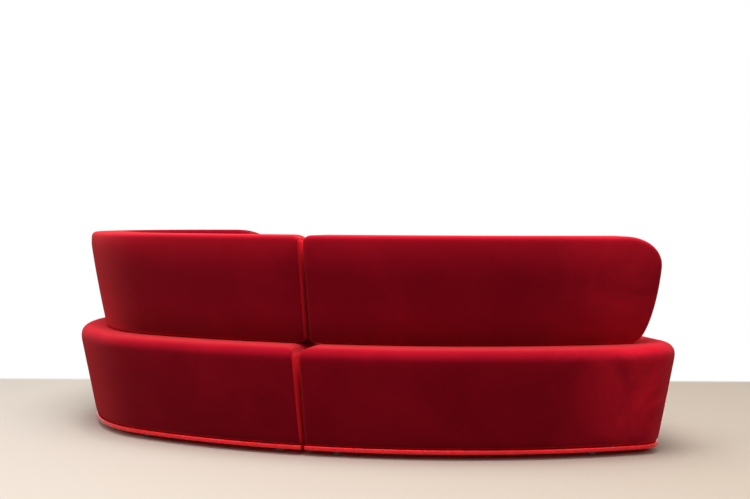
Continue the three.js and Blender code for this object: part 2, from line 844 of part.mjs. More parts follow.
function linkPlate() {
  const side = plateInto.clone().multiplyScalar(plateLength / 2);
  const depth = jointAlong.clone().multiplyScalar(plateWidth / 2);
  const corner = (across, along) => (
    plateCentre.clone().addScaledVector(side, across).addScaledVector(depth, along)
  );
  const shape = new THREE.Shape([corner(1, 1), corner(-1, 1), corner(-1, -1), corner(1, -1)]);
  const plate = slab(shape, plateTop - plateThickness, plateThickness);
  return cut(plate, Object.values(linkPlaces).map((place) => boardHole(place, boltRadius + seatGap)));
}

function linkBolt(place) {
  const underHead = plateTop - plateThickness - seatGap;
  const shank = screwTip - underHead;
  const down = new THREE.Vector3(0, 0, -1);
  return turnTo(boltSolid(shank, 0), down, new THREE.Vector3(place.x, place.y, underHead));
}

function boredBoard(module) {
  const screws = glidePlaces(module).map((place) => boardHole(place, screwRadius + seatGap));
  return cut(baseBoard(module), [...screws, boardHole(linkPlaces[module], boltRadius + seatGap)]);
}

function addModule(module) {
  const frames = bracketShares[module].map((share) => bracketFrame(module, share));
  const bracketPockets = frames.map((frame) => bracketSolid(frame, seatGap));
  const deckBoltPockets = frames.map((frame) => deckBolt(frame, seatGap));
  const coreBoltPockets = frames.map((frame) => coreBolt(frame, seatGap));
  const panelTop = deckBottom - seatGap;
  const backPadding = [coreSlot(module), ...bracketPockets, ...coreBoltPockets];
  const wallPad = wallSleeve(module, wallFoot, deckHeight, foamInset, wallPadThickness);
  const wallPanel = wallSleeve(module, wallFoot, panelTop, panelInset, wallPanelThickness);
  addPiece(`${module}_base_board`, boredBoard(module), lacquer);
  addPiece(`${module}_wall_panel`, wallPanel, plywood);
  addPiece(`${module}_wall_pad`, wallPad, foam);
  addPiece(`${module}_deck`, cut(deckFrame(module), deckBoltPockets), plywood);
  addPiece(`${module}_webbing`, seatWebbing(module), webbing);
  addPiece(`${module}_seat_foam`, cut(seatFoam(module), [...bracketPockets, ...deckBoltPockets]), foam);
  addPiece(`${module}_base_cover`, cut(baseCover(module), bracketPockets), velvet);
  addPiece(`${module}_back_core`, cut(backCore(module), coreBoltPockets), plywood);
  const backFoam = backBody(module, foamInset, hiddenRoundSteps);
  addPiece(`${module}_back_foam`, cut(backFoam, backPadding), foam);
  addPiece(`${module}_back_cover`, backCover(module), velvet);
  ribShares[module].forEach((share, index) => {
    addPiece(`${module}_rib_${index + 1}`, seatRib(module, share), plywood);
  });
  frames.forEach((frame, index) => {
    const number = index + 1;
    const holes = [deckBoltPockets[index], coreBoltPockets[index]];
    addPiece(`${module}_bracket_${number}`, cut(bracketSolid(frame, 0), holes), blackSteel);
    addPiece(`${module}_deck_bolt_${number}`, deckBolt(frame, 0), zincSteel);
    addPiece(`${module}_core_bolt_${number}`, coreBolt(frame, 0), zincSteel);
  });
  glidePlaces(module).forEach((place, index) => {
    addPiece(`${module}_glide_${index + 1}`, glide(place), nylon);
    addPiece(`${module}_glide_screw_${index + 1}`, glideScrew(place), zincSteel);
  });
}

addModule('left');
addModule('right');
addPiece('link_plate', linkPlate(), blackSteel);
addPiece('left_link_bolt', linkBolt(linkPlaces.left), zincSteel);
addPiece('right_link_bolt', linkBolt(linkPlaces.right), zincSteel);

const middle = new THREE.Box3().setFromObject(sofa).getCenter(new THREE.Vector3());
sofa.position.set(-middle.x, -middle.y, 0);

export default sofa;
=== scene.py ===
"""The looks of a curved velvet sofa, in metres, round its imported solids.

The sofa is seen from its rear along +Y, with +X to the right. Its plan is drawn round the centre that all
its long curves share. Each module has a padded base and a padded back, on a lacquered board with glides.
"""

import json
import logging
import math
from collections.abc import Callable
from dataclasses import dataclass
from enum import Enum

import bmesh
import bpy
import numpy as np
from mathutils import Matrix, Vector
from mathutils.bvhtree import BVHTree
from mathutils.kdtree import KDTree


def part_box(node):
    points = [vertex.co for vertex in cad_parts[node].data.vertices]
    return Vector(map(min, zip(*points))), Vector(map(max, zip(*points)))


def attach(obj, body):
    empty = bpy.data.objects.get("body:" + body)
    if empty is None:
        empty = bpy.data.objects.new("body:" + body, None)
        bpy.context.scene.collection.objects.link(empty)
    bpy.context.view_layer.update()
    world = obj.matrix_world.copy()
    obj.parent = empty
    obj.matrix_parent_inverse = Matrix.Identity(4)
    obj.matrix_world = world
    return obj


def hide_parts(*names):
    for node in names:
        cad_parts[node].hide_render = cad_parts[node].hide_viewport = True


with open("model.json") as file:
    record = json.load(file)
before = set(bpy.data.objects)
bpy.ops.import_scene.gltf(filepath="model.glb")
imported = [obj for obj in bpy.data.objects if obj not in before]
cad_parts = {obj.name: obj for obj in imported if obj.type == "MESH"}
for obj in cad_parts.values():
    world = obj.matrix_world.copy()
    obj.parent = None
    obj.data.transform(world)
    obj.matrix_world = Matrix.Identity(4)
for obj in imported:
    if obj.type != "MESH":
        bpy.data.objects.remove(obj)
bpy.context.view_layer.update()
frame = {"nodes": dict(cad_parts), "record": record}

LOG = logging.getLogger("curved_sofa")
# Points of a mesh that lie nearer together than this are one point
WELD = 0.00002
# How much of the way to its neighbours' mean a value goes in one round of evening
EVENING_SHARE = 0.7
# The turn of the rounded edges where a seam lies, in degrees
SEAM_TURN = 45

Number = float | np.ndarray
Pair = tuple[float, float]
Triple = tuple[float, float, float]


class Side(Enum):
    """The two modules, as seen from the rear."""

    LEFT = "left"
    RIGHT = "right"


def mix(start: Number, end: Number, share: float) -> Number:
    """Returns the value at a share of the way from start to end."""
    return start + (end - start) * share


def ease(share: Number) -> Number:
    """Returns a share that starts and ends level."""
    kept = np.clip(share, 0.0, 1.0)
    return kept * kept * (3 - 2 * kept)


def linear(code: str) -> tuple[float, float, float, float]:
    """Turns an sRGB hex code into the linear colour that a shader takes.

    Args:
        code: six hex digits after a hash sign.

    Returns:
        Red, green, blue and an alpha of one.
    """
    parts = [int(code[place:place + 2], 16) / 255 for place in (1, 3, 5)]
    red, green, blue = (c / 12.92 if c <= 0.04045 else ((c + 0.055) / 1.055) ** 2.4 for c in parts)
    return red, green, blue, 1.0


# Plan


@dataclass(frozen=True)
class Line:
    """A straight wall of the plan: its direction, the way into the module and its offset along that."""

    along: np.ndarray
    into: np.ndarray
    offset: float

    def crossing(self, radius: float) -> np.ndarray:
        """Returns the place where the line leaves the circle of a radius round the common centre."""
        return self.into * self.offset + self.along * math.sqrt(radius ** 2 - self.offset ** 2)

    def shifted(self, further: float) -> "Line":
        """Returns the line moved further into the module."""
        return Line(self.along, self.into, self.offset + further)


def polar(radius: float, angle: float) -> np.ndarray:
    """Returns the plan vector of a radius and an angle in radians from straight to the rear."""
    return np.array([radius * math.sin(angle), -radius * math.cos(angle)])


def angle_of(vector: np.ndarray) -> float:
    """Returns the angle of a plan vector from straight to the rear."""
    return math.atan2(vector[0], -vector[1])


def quarter_turn(vector: np.ndarray, sense: int) -> np.ndarray:
    """Returns the vector turned a quarter to its left for a sense of 1, to its right for -1."""
    return np.array([-vector[1] * sense, vector[0] * sense])


def round_corner(line: Line, radius: float, corner: float, outside: int, steps: int) -> list[np.ndarray]:
    """Rounds the corner between a straight wall and a long curve.

    Args:
        line: the straight wall.
        radius: the long curve's radius.
        corner: the corner's own radius.
        outside: 1 where the long curve bounds the outside of the plan, -1 where it bounds the inside.
        steps: how many chords the corner has.

    Returns:
        The corner's points, from the straight wall to the long curve.
    """
    middle = line.shifted(corner).crossing(radius - outside * corner)
    start = angle_of(-line.into)
    end = angle_of(middle * outside)
    if end - start > math.pi:
        end -= 2 * math.pi
    if start - end > math.pi:
        end += 2 * math.pi
    return [middle + polar(corner, mix(start, end, step / steps)) for step in range(steps + 1)]


@dataclass(frozen=True)
class Plan:
    """The plan of both modules at the edge of their boards, with its angles in degrees.

    The left module's half-round end starts at round_end, and right_end is the right module's end wall, which
    has a share of the other walls' flare. The joint meets the outer curve at joint and is turned from the
    radius there by joint_turn. A base folds onto its spine, midway between the long walls.
    """

    centre: Pair = (0.3212626, 1.6818189)
    outer_radius: float = 2.245
    depth: float = 0.915
    round_end: float = -28.3
    right_end: float = 18.0
    end_corner: float = 0.090
    end_flare_share: float = 0.7
    corner_flare_share: float = 0.6
    joint: float = -12.6
    joint_turn: float = -7.0
    gap: float = 0.006
    least_corner: float = 0.001
    spine_inset_share: float = 0.6

    @property
    def spine_radius(self) -> float:
        """The radius of the line midway between the long walls."""
        return self.outer_radius - self.depth / 2

    @property
    def cap_centre(self) -> np.ndarray:
        """The centre of the left module's half-round end."""
        return polar(self.spine_radius, math.radians(self.round_end))

    def joint_line(self, side: Side, inset: float) -> Line:
        """Draws the wall of a module at the joint.

        Args:
            side: the module.
            inset: how far the wall is moved into the module.

        Returns:
            The wall.
        """
        along = polar(1.0, math.radians(self.joint + self.joint_turn))
        into = quarter_turn(along, 1 if side is Side.RIGHT else -1)
        at_edge = polar(self.outer_radius, math.radians(self.joint))
        return Line(along, into, float(into @ at_edge) + self.gap / 2 + inset)

    def end_line(self, grow: float) -> Line:
        """Returns the right module's end wall, moved outwards by grow."""
        along = polar(1.0, math.radians(self.right_end))
        return Line(along, quarter_turn(along, -1), -grow)

    def placed(self, points: np.ndarray) -> np.ndarray:
        """Moves plan points from the common centre to the sofa's frame."""
        return points + np.array(self.centre)


@dataclass(frozen=True)
class Fineness:
    """How many chords each stretch of a module's outline has."""

    arc: int
    cap: int = 84
    end_corner: int = 14
    joint_corner: int = 4
    line: int = 32


FINENESS = {Side.LEFT: Fineness(arc=36), Side.RIGHT: Fineness(arc=64)}


def outline(
    plan: Plan, side: Side, flare: float, inset: float, joint_inset: float, joint_corner: float
) -> tuple[np.ndarray, np.ndarray]:
    """Draws the outline of a module, and for each point the place on the spine that it folds onto.

    Args:
        plan: the plan of both modules.
        side: the module.
        flare: how far the free walls stand outside the board's edge.
        inset: how far the whole outline lies inside that.
        joint_inset: how much further the wall at the joint stands back.
        joint_corner: the radius of the two corners at the joint.

    Returns:
        The outline's points and their places on the spine, in the sofa's frame.
    """
    fine = FINENESS[side]
    grow = flare - inset
    outer, inner = plan.outer_radius + grow, plan.outer_radius - plan.depth - grow
    corner = max(joint_corner - inset, plan.least_corner)
    line = plan.joint_line(side, inset + joint_inset)
    spine_inset = plan.depth / 2 * plan.spine_inset_share / plan.spine_radius
    spine_start = angle_of(plan.joint_line(side, 0.0).crossing(plan.spine_radius))
    round_end, right_end = math.radians(plan.round_end), math.radians(plan.right_end)
    if side is Side.RIGHT:
        spine_start, spine_end = spine_start + spine_inset, right_end - spine_inset
    else:
        spine_start, spine_end = spine_start - spine_inset, round_end
    points: list[np.ndarray] = []
    spine: list[np.ndarray] = []

    def put(places: list[np.ndarray], share: float) -> None:
        """Adds points that fold onto the spine at a share of its length."""
        points.extend(places)
        spine.extend([polar(plan.spine_radius, mix(spine_start, spine_end, share))] * len(places))

    def put_arc(radius: float, start: float, end: float, backwards: bool) -> None:
        """Adds the inner points of a long curve."""
        for step in range(1, fine.arc):
            share = 1 - step / fine.arc if backwards else step / fine.arc
            put([polar(radius, mix(start, end, share))], share)

    def put_line(start: np.ndarray, end: np.ndarray, share: float) -> None:
        """Adds the inner points of a straight wall."""
        put([mix(start, end, step / fine.line) for step in range(1, fine.line)], share)

    outer_joint = round_corner(line, outer, corner, 1, fine.joint_corner)
    inner_joint = round_corner(line, inner, corner, -1, fine.joint_corner)[::-1]
    put(outer_joint, 0.0)
    if side is Side.RIGHT:
        end_wall = plan.end_line(plan.end_flare_share * flare - inset)
        end_corner = max(plan.end_corner + plan.corner_flare_share * flare - inset, plan.least_corner)
        outer_end = round_corner(end_wall, outer, end_corner, 1, fine.end_corner)[::-1]
        inner_end = round_corner(end_wall, inner, end_corner, -1, fine.end_corner)
        put_arc(outer, angle_of(outer_joint[-1]), angle_of(outer_end[0]), False)
        put(outer_end, 1.0)
        put_line(outer_end[-1], inner_end[0], 1.0)
        put(inner_end, 1.0)
        put_arc(inner, angle_of(inner_joint[0]), angle_of(inner_end[-1]), True)
    else:
        put_arc(outer, angle_of(outer_joint[-1]), round_end, False)
        turns = [round_end - math.pi * step / fine.cap for step in range(fine.cap + 1)]
        put([plan.cap_centre + polar(plan.depth / 2 + grow, turn) for turn in turns], 1.0)
        put_arc(inner, angle_of(inner_joint[0]), round_end, True)
    put(inner_joint, 0.0)
    put_line(inner_joint[-1], outer_joint[0], 0.0)
    return plan.placed(np.array(points)), plan.placed(np.array(spine))


# Modelling


def deselect_all() -> None:
    """Leaves object mode with nothing selected."""
    if bpy.context.object and bpy.context.object.mode != "OBJECT":
        bpy.ops.object.mode_set(mode="OBJECT")
    bpy.ops.object.select_all(action="DESELECT")


def select_only(piece: bpy.types.Object) -> None:
    """Selects one piece and makes it the active one.

    Args:
        piece: the piece.
    """
    deselect_all()
    piece.select_set(True)
    bpy.context.view_layer.objects.active = piece


def select_faces(mesh: bpy.types.Mesh, chosen: Callable[[bmesh.types.BMFace], bool]) -> None:
    """Selects faces of a mesh in edit mode.

    Args:
        mesh: the mesh that is being edited.
        chosen: says of a face whether it is selected.
    """
    bpy.ops.mesh.select_all(action="DESELECT")
    shape = bmesh.from_edit_mesh(mesh)
    for face in shape.faces:
        face.select = chosen(face)
    bmesh.update_edit_mesh(mesh)


def read_vectors(items: bpy.types.bpy_prop_collection, name: str) -> np.ndarray:
    """Reads one vector of each item of a mesh.

    Args:
        items: the mesh's points or their normals.
        name: what the vector is called there.

    Returns:
        The vectors, a row each.
    """
    values = np.empty(len(items) * 3, np.float32)
    items.foreach_get(name, values)
    return values.reshape(-1, 3).astype(float)


def coordinates(mesh: bpy.types.Mesh) -> np.ndarray:
    """Returns the places of a mesh's points, a row each."""
    return read_vectors(mesh.vertices, "co")


def move_points(mesh: bpy.types.Mesh, places: np.ndarray) -> None:
    """Puts a mesh's points in new places."""
    mesh.vertices.foreach_set("co", places.astype(np.float32).ravel())
    mesh.update()


def finish_modifier(piece: bpy.types.Object, kind: str, **settings: object) -> None:
    """Adds a modifier to a piece and applies it.

    Args:
        piece: the piece.
        kind: the modifier's type.
        settings: the modifier's own settings.
    """
    select_only(piece)
    modifier = piece.modifiers.new(kind.title(), kind)
    for name, value in settings.items():
        setattr(modifier, name, value)
    bpy.ops.object.modifier_apply(modifier=modifier.name)


def relax(mesh: bpy.types.Mesh, values: np.ndarray, free: np.ndarray, rounds: int) -> np.ndarray:
    """Evens values out between the neighbouring points of a mesh that are free.

    Args:
        mesh: the mesh.
        values: one value for each point.
        free: for each point, 0 where its value stays and 1 where it follows its neighbours.
        rounds: how often each point moves towards its neighbours' mean.

    Returns:
        The evened values.
    """
    ends = np.empty(len(mesh.edges) * 2, np.int32)
    mesh.edges.foreach_get("vertices", ends)
    ends = ends.reshape(-1, 2)
    ends = ends[(free[ends] > 0.0).all(axis=1)]
    here, there, count = ends[:, 0], ends[:, 1], len(values)
    neighbours = np.bincount(ends.ravel(), minlength=count)
    free = free * (neighbours > 0)
    for _ in range(rounds):
        total = np.bincount(here, values[there], count) + np.bincount(there, values[here], count)
        values = values + (total / np.maximum(neighbours, 1) - values) * free * EVENING_SHARE
    return values


def join_rings(
    shape: bmesh.types.BMesh, low: list[bmesh.types.BMVert], high: list[bmesh.types.BMVert], smooth: bool
) -> None:
    """Joins two rings of points by a band of four-sided faces.

    Args:
        shape: the mesh that the points belong to.
        low: the one ring.
        high: the other ring, with as many points.
        smooth: whether the faces are shaded smooth.
    """
    for step, after in enumerate([*range(1, len(low)), 0]):
        shape.faces.new((low[step], low[after], high[after], high[step])).smooth = smooth


def closed_form(
    name: str, rings: list[np.ndarray], around: bool, folded: int | None = None
) -> bpy.types.Object:
    """Joins rings of points into one closed mesh whose faces point outwards.

    Args:
        name: the piece's name.
        rings: rings with as many points each; a ring that folds onto a line closes the skin there.
        around: whether the last ring joins the first.
        folded: the ring that no skin leaves, because it and the next one fold onto lines of their own.

    Returns:
        The new piece, in the scene.
    """
    shape = bmesh.new()
    loops = [[shape.verts.new(point) for point in ring] for ring in rings]
    for here in range(len(loops) if around else len(loops) - 1):
        if here != folded:
            join_rings(shape, loops[here], loops[(here + 1) % len(loops)], smooth=False)
    bmesh.ops.remove_doubles(shape, verts=shape.verts, dist=WELD)
    bmesh.ops.dissolve_degenerate(shape, edges=shape.edges, dist=WELD)
    bmesh.ops.recalc_face_normals(shape, faces=shape.faces)
    mesh = bpy.data.meshes.new(name)
    shape.to_mesh(mesh)
    shape.free()
    piece = bpy.data.objects.new(name, mesh)
    bpy.context.scene.collection.objects.link(piece)
    return piece


@dataclass(frozen=True)
class CoverFit:
    """How a cover is drawn tight over its foam by a short cloth run.

    A point that the run swells by half_way keeps half of most. What is kept is then evened out.
    """

    most: float
    half_way: float = 0.015
    evening: int = 30
    pressure: float = 4.0
    cloth_mass: float = 0.3
    steps: int = 4
    frames: int = 20

    def settle(self, piece: bpy.types.Object, free: np.ndarray) -> None:
        """Lets the cover swell, and keeps a small part of its outward move where it is free.

        Args:
            piece: a closed mesh.
            free: for each point, 0 where the cover is held and 1 where it is free.
        """
        mesh = piece.data
        rest = coordinates(mesh)
        normals = read_vectors(mesh.vertex_normals, "vector")
        held = piece.vertex_groups.new(name="held")
        held.add([int(point) for point in np.flatnonzero(free <= 0.0)], 1.0, "REPLACE")
        cloth = piece.modifiers.new("Cloth", "CLOTH")
        cloth.settings.quality = self.steps
        cloth.settings.mass = self.cloth_mass
        cloth.settings.use_pressure = True
        cloth.settings.uniform_pressure_force = self.pressure
        cloth.settings.vertex_group_mass = held.name
        cloth.settings.effector_weights.gravity = 0.0
        cloth.collision_settings.use_collision = False
        for number in range(1, self.frames + 1):
            bpy.context.scene.frame_set(number)
        graph = bpy.context.evaluated_depsgraph_get()
        swollen = coordinates(piece.evaluated_get(graph).to_mesh())
        piece.evaluated_get(graph).to_mesh_clear()
        bpy.context.scene.frame_set(1)
        piece.modifiers.remove(cloth)
        piece.vertex_groups.remove(held)
        outwards = np.maximum(((swollen - rest) * normals).sum(axis=1), 0.0)
        kept = relax(mesh, self.most * outwards / (outwards + self.half_way) * free, free, self.evening)
        LOG.info("%s: cloth swelled %.4f on average, kept %.4f", piece.name, outwards.mean(), kept.mean())
        move_points(mesh, rest + normals * kept[:, None])


@dataclass(frozen=True)
class EndSeam:
    """The sewn seam round a module's face at the joint, where the pile opens and puckers at each stitch."""

    radius: float = 0.0016
    spacing: float = 0.003
    stitch: float = 0.009
    pucker: float = 0.3
    sides: int = 6

    def sew(self, piece: bpy.types.Object, path: np.ndarray) -> None:
        """Lays a thin raised line on the piece's skin, as part of the piece.

        Args:
            piece: the piece.
            path: the line's course, near the skin.
        """
        lengths = np.concatenate([[0.0], np.linalg.norm(np.diff(path, axis=0), axis=1).cumsum()])
        places = np.arange(0.0, lengths[-1], self.spacing)
        path = np.column_stack([np.interp(places, lengths, path[:, axis]) for axis in range(3)])
        shape = bmesh.new()
        shape.from_mesh(piece.data)
        skin = BVHTree.FromBMesh(shape)
        line = [skin.find_nearest(Vector(place))[:2] for place in path]
        turns = [math.tau * step / self.sides for step in range(self.sides)]
        rings = []
        for index, (place, normal) in enumerate(line):
            along = line[min(index + 1, len(line) - 1)][0] - line[max(index - 1, 0)][0]
            side = along.cross(normal).normalized()
            drawn_in = self.pucker * math.cos(math.tau * index * self.spacing / self.stitch) ** 2
            radius = self.radius * (1 - drawn_in)
            ring = [place + radius * (side * math.cos(turn) + normal * math.sin(turn)) for turn in turns]
            rings.append([shape.verts.new(point) for point in ring])
        for low, high in zip(rings, rings[1:]):
            join_rings(shape, low, high, smooth=True)
        shape.faces.new(rings[0][::-1])
        shape.faces.new(rings[-1])
        shape.to_mesh(piece.data)
        shape.free()


def finish_cover(piece: bpy.types.Object, seam: EndSeam, path: np.ndarray) -> None:
    """Smooths a settled cover and sews its seam.

    Args:
        piece: the cover.
        seam: the seam at the joint.
        path: the seam's course.
    """
    finish_modifier(piece, "SUBSURF", levels=1, render_levels=1)
    select_only(piece)
    bpy.ops.object.shade_smooth()
    seam.sew(piece, path)


def dress(piece: bpy.types.Object, material: bpy.types.Material, replaced: list[str]) -> None:
    """Gives a finished piece its material and its place in the frame.

    Args:
        piece: the piece.
        material: its material.
        replaced: the nodes that the piece stands for.
    """
    piece.data.materials.clear()
    piece.data.materials.append(material)
    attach(piece, "root")
    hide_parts(*replaced)


@dataclass
class BaseUpholstery:
    """The padded base of a module: a flared wall, a rolled rim and a crowned seat, hollow underneath."""

    side: Side
    plan: Plan
    # The wall, which flares over its whole height, and its rim
    foot: float = 0.0343
    foot_tuck: float = 0.002
    rim_height: float = 0.354
    rim_radius: float = 0.036
    flare: float = 0.054
    board_proud: float = 0.003
    # The seat, whose crown starts at a share of the way to the spine and has its hips evened out
    seat_drop: float = 0.001
    crown: float = 0.024
    crown_start_share: float = 0.4
    crown_evening: int = 60
    loose_rate: float = 4.0
    loose_evening: int = 10
    # The face at the joint
    joint_inset: float = 0.004
    joint_lean: float = 0.003
    joint_corner: float = 0.011
    # The hollow that the carcass fills
    padding: float = 0.0153
    foam_bottom: float = 0.2666
    # The cover, which is free above its foot and clear of the back, and fuller at the ends of X
    loft: float = 0.0015
    free_rate: float = 6.0
    back_margin: float = 0.06
    end_fullness: float = 0.006
    full_from: Pair = (0.86, 0.94)
    fit: CoverFit = CoverFit(most=0.0045)
    seam: EndSeam = EndSeam()
    # How many rings each stretch of the section has
    wall_steps: int = 16
    rim_steps: int = 6
    top_steps: int = 14
    inner_steps: int = 3
    # The steps in which a point's freedom is kept while its ring is looked up
    freedom_steps: int = 1000

    @property
    def spring(self) -> float:
        """The height where the rim starts to roll over."""
        return self.rim_height - self.rim_radius

    def wall_ring(self, height: float, inset: float) -> tuple[np.ndarray, np.ndarray]:
        """Draws the outline at a height of the wall.

        Args:
            height: the height above the floor; the outline stays the same above the spring.
            inset: how far it lies inside the wall.

        Returns:
            The outline's points, and their places on the spine.
        """
        rise = (min(height, self.spring) - self.foot) / (self.spring - self.foot)
        flare = self.flare * rise - self.board_proud
        joint_inset = self.joint_inset + self.joint_lean * rise
        return outline(self.plan, self.side, flare, inset, joint_inset, self.joint_corner)

    def ring(self, height: float, inset: float, share: float = 0.0, lift: float = 0.0) -> np.ndarray:
        """Draws a ring of points.

        Args:
            height: the height whose outline it has.
            inset: how far it lies inside the wall.
            share: how far it is folded towards the spine.
            lift: how far it is raised above its height.

        Returns:
            The ring's points.
        """
        points, spine = self.wall_ring(height, inset)
        place = points + (spine - points) * share
        return np.column_stack([place, np.full(len(place), height + lift)])

    def rim_ring(self, turn: float) -> np.ndarray:
        """Draws a ring of the rolled rim.

        Args:
            turn: its turn from the wall, in degrees.

        Returns:
            The ring's points.
        """
        turn = math.radians(turn)
        ring = self.ring(self.spring, self.rim_radius - (self.rim_radius + self.loft) * math.cos(turn))
        ring[:, 2] += (self.rim_radius - self.seat_drop) * math.sin(turn)
        return ring

    def seam_path(self, rings: list[np.ndarray]) -> np.ndarray:
        """Draws the seam's course.

        Args:
            rings: the rings of the section.

        Returns:
            The line up the outer edge of the joint's face, along its top and down its inner edge.
        """
        fine = FINENESS[self.side]
        outer, inner = fine.joint_corner // 2, -fine.line - fine.joint_corner // 2
        wall, edge = rings[: self.wall_steps + 1], self.rim_ring(SEAM_TURN)
        top = [edge[outer], edge[0], *edge[:-fine.line:-1], edge[inner]]
        return np.array([ring[outer] for ring in wall] + top + [ring[inner] for ring in reversed(wall)])

    def rings(self) -> tuple[list[np.ndarray], list[float]]:
        """Draws the closed section round the wall.

        Returns:
            The rings from the outer foot up and over to the spine, and on from the spine to the inner foot,
            and for each how free its cover is.
        """
        rings, free = [], []

        def put(ring: np.ndarray, freedom: float) -> None:
            """Adds a ring whose cover is as free as freedom says."""
            rings.append(ring)
            free.append(freedom)

        put(self.ring(self.foot, self.foot_tuck - self.loft), 0.0)
        for step in range(1, self.wall_steps + 1):
            share = step / self.wall_steps
            height = mix(self.foot, self.spring, share)
            put(self.ring(height, -self.loft), float(ease(share * self.free_rate)))
        for step in range(1, self.rim_steps + 1):
            put(self.rim_ring(90 * step / self.rim_steps), 1.0)
        for step in range(1, self.top_steps + 1):
            share = step / self.top_steps
            rise = (share - self.crown_start_share) / (1 - self.crown_start_share)
            lift = self.rim_height - self.seat_drop - self.spring + self.crown * float(ease(rise))
            put(self.ring(self.spring, self.rim_radius, share, lift), 1.0)
        for step in range(self.inner_steps + 1):
            share = 1 - step / self.inner_steps
            put(self.ring(self.foam_bottom, self.padding, share), 0.0)
        for step in range(1, self.inner_steps + 1):
            height = mix(self.foam_bottom, self.foot, step / self.inner_steps)
            put(self.ring(height, self.padding), 0.0)
        return rings, free

    def build(self, velvet: bpy.types.Material) -> bpy.types.Object:
        """Models, settles and dresses the base.

        Args:
            velvet: its material.

        Returns:
            The finished piece.
        """
        rings, free = self.rings()
        folded = self.wall_steps + self.rim_steps + self.top_steps
        piece = closed_form(f"{self.side.value}_base_upholstery", rings, around=True, folded=folded)
        clear = self.clear_of_back(coordinates(piece.data))
        self.fill_out(piece.data, clear)
        self.fit.settle(piece, self.freedom(piece.data, rings, free) * clear)
        finish_cover(piece, self.seam, self.seam_path(rings))
        stands_for = [f"{self.side.value}_{part}" for part in ("base_cover", "seat_foam", "wall_pad")]
        dress(piece, velvet, stands_for)
        return piece

    def fill_out(self, mesh: bpy.types.Mesh, clear: np.ndarray) -> None:
        """Evens out the hips of the seat's crown, and raises the sofa's two ends a little.

        Args:
            mesh: the base's mesh.
            clear: for each point, 0 under the back and 1 well clear of it.
        """
        places = coordinates(mesh)
        lift = np.clip((places[:, 2] - self.rim_height) / self.crown, 0.0, 1.0)
        top = (places[:, 2] > self.rim_height - 2 * self.seat_drop) * clear
        loose = relax(mesh, np.minimum(lift * self.loose_rate, 1.0), top, self.loose_evening)
        places[:, 2] = relax(mesh, places[:, 2], loose * top, self.crown_evening)
        start, stop = self.full_from
        end = ease((np.abs(places[:, 0]) - start) / (stop - start))
        raised = places[:, 2] > self.spring
        places[:, 2] += self.end_fullness * end * clear * raised
        move_points(mesh, places)

    def clear_of_back(self, places: np.ndarray) -> np.ndarray:
        """Finds out where the back leaves the base clear.

        Args:
            places: the base's points.

        Returns:
            For each point 0 on the seat under the back, and 1 on the walls and well clear of the back.
        """
        back = BackUpholstery(self.side, self.plan)
        middle = back.foot_line()
        away = np.array([np.linalg.norm(middle - place[:2], axis=1).min() for place in places])
        clear = ease((away - back.foot_thickness / 2) / self.back_margin)
        return np.where(places[:, 2] > self.spring, clear, 1.0)

    def freedom(self, mesh: bpy.types.Mesh, rings: list[np.ndarray], free: list[float]) -> np.ndarray:
        """Finds out how free each point of the cover is.

        Args:
            mesh: the base's mesh.
            rings: the rings that it was made from.
            free: how free the cover is on each ring.

        Returns:
            For each point how free the nearest ring is.
        """
        known = KDTree(len(rings) * len(rings[0]))
        for ring, freedom in zip(rings, free):
            for point in ring:
                known.insert(point, round(freedom * self.freedom_steps))
        known.balance()
        return np.array([known.find(vertex.co)[1] / self.freedom_steps for vertex in mesh.vertices])


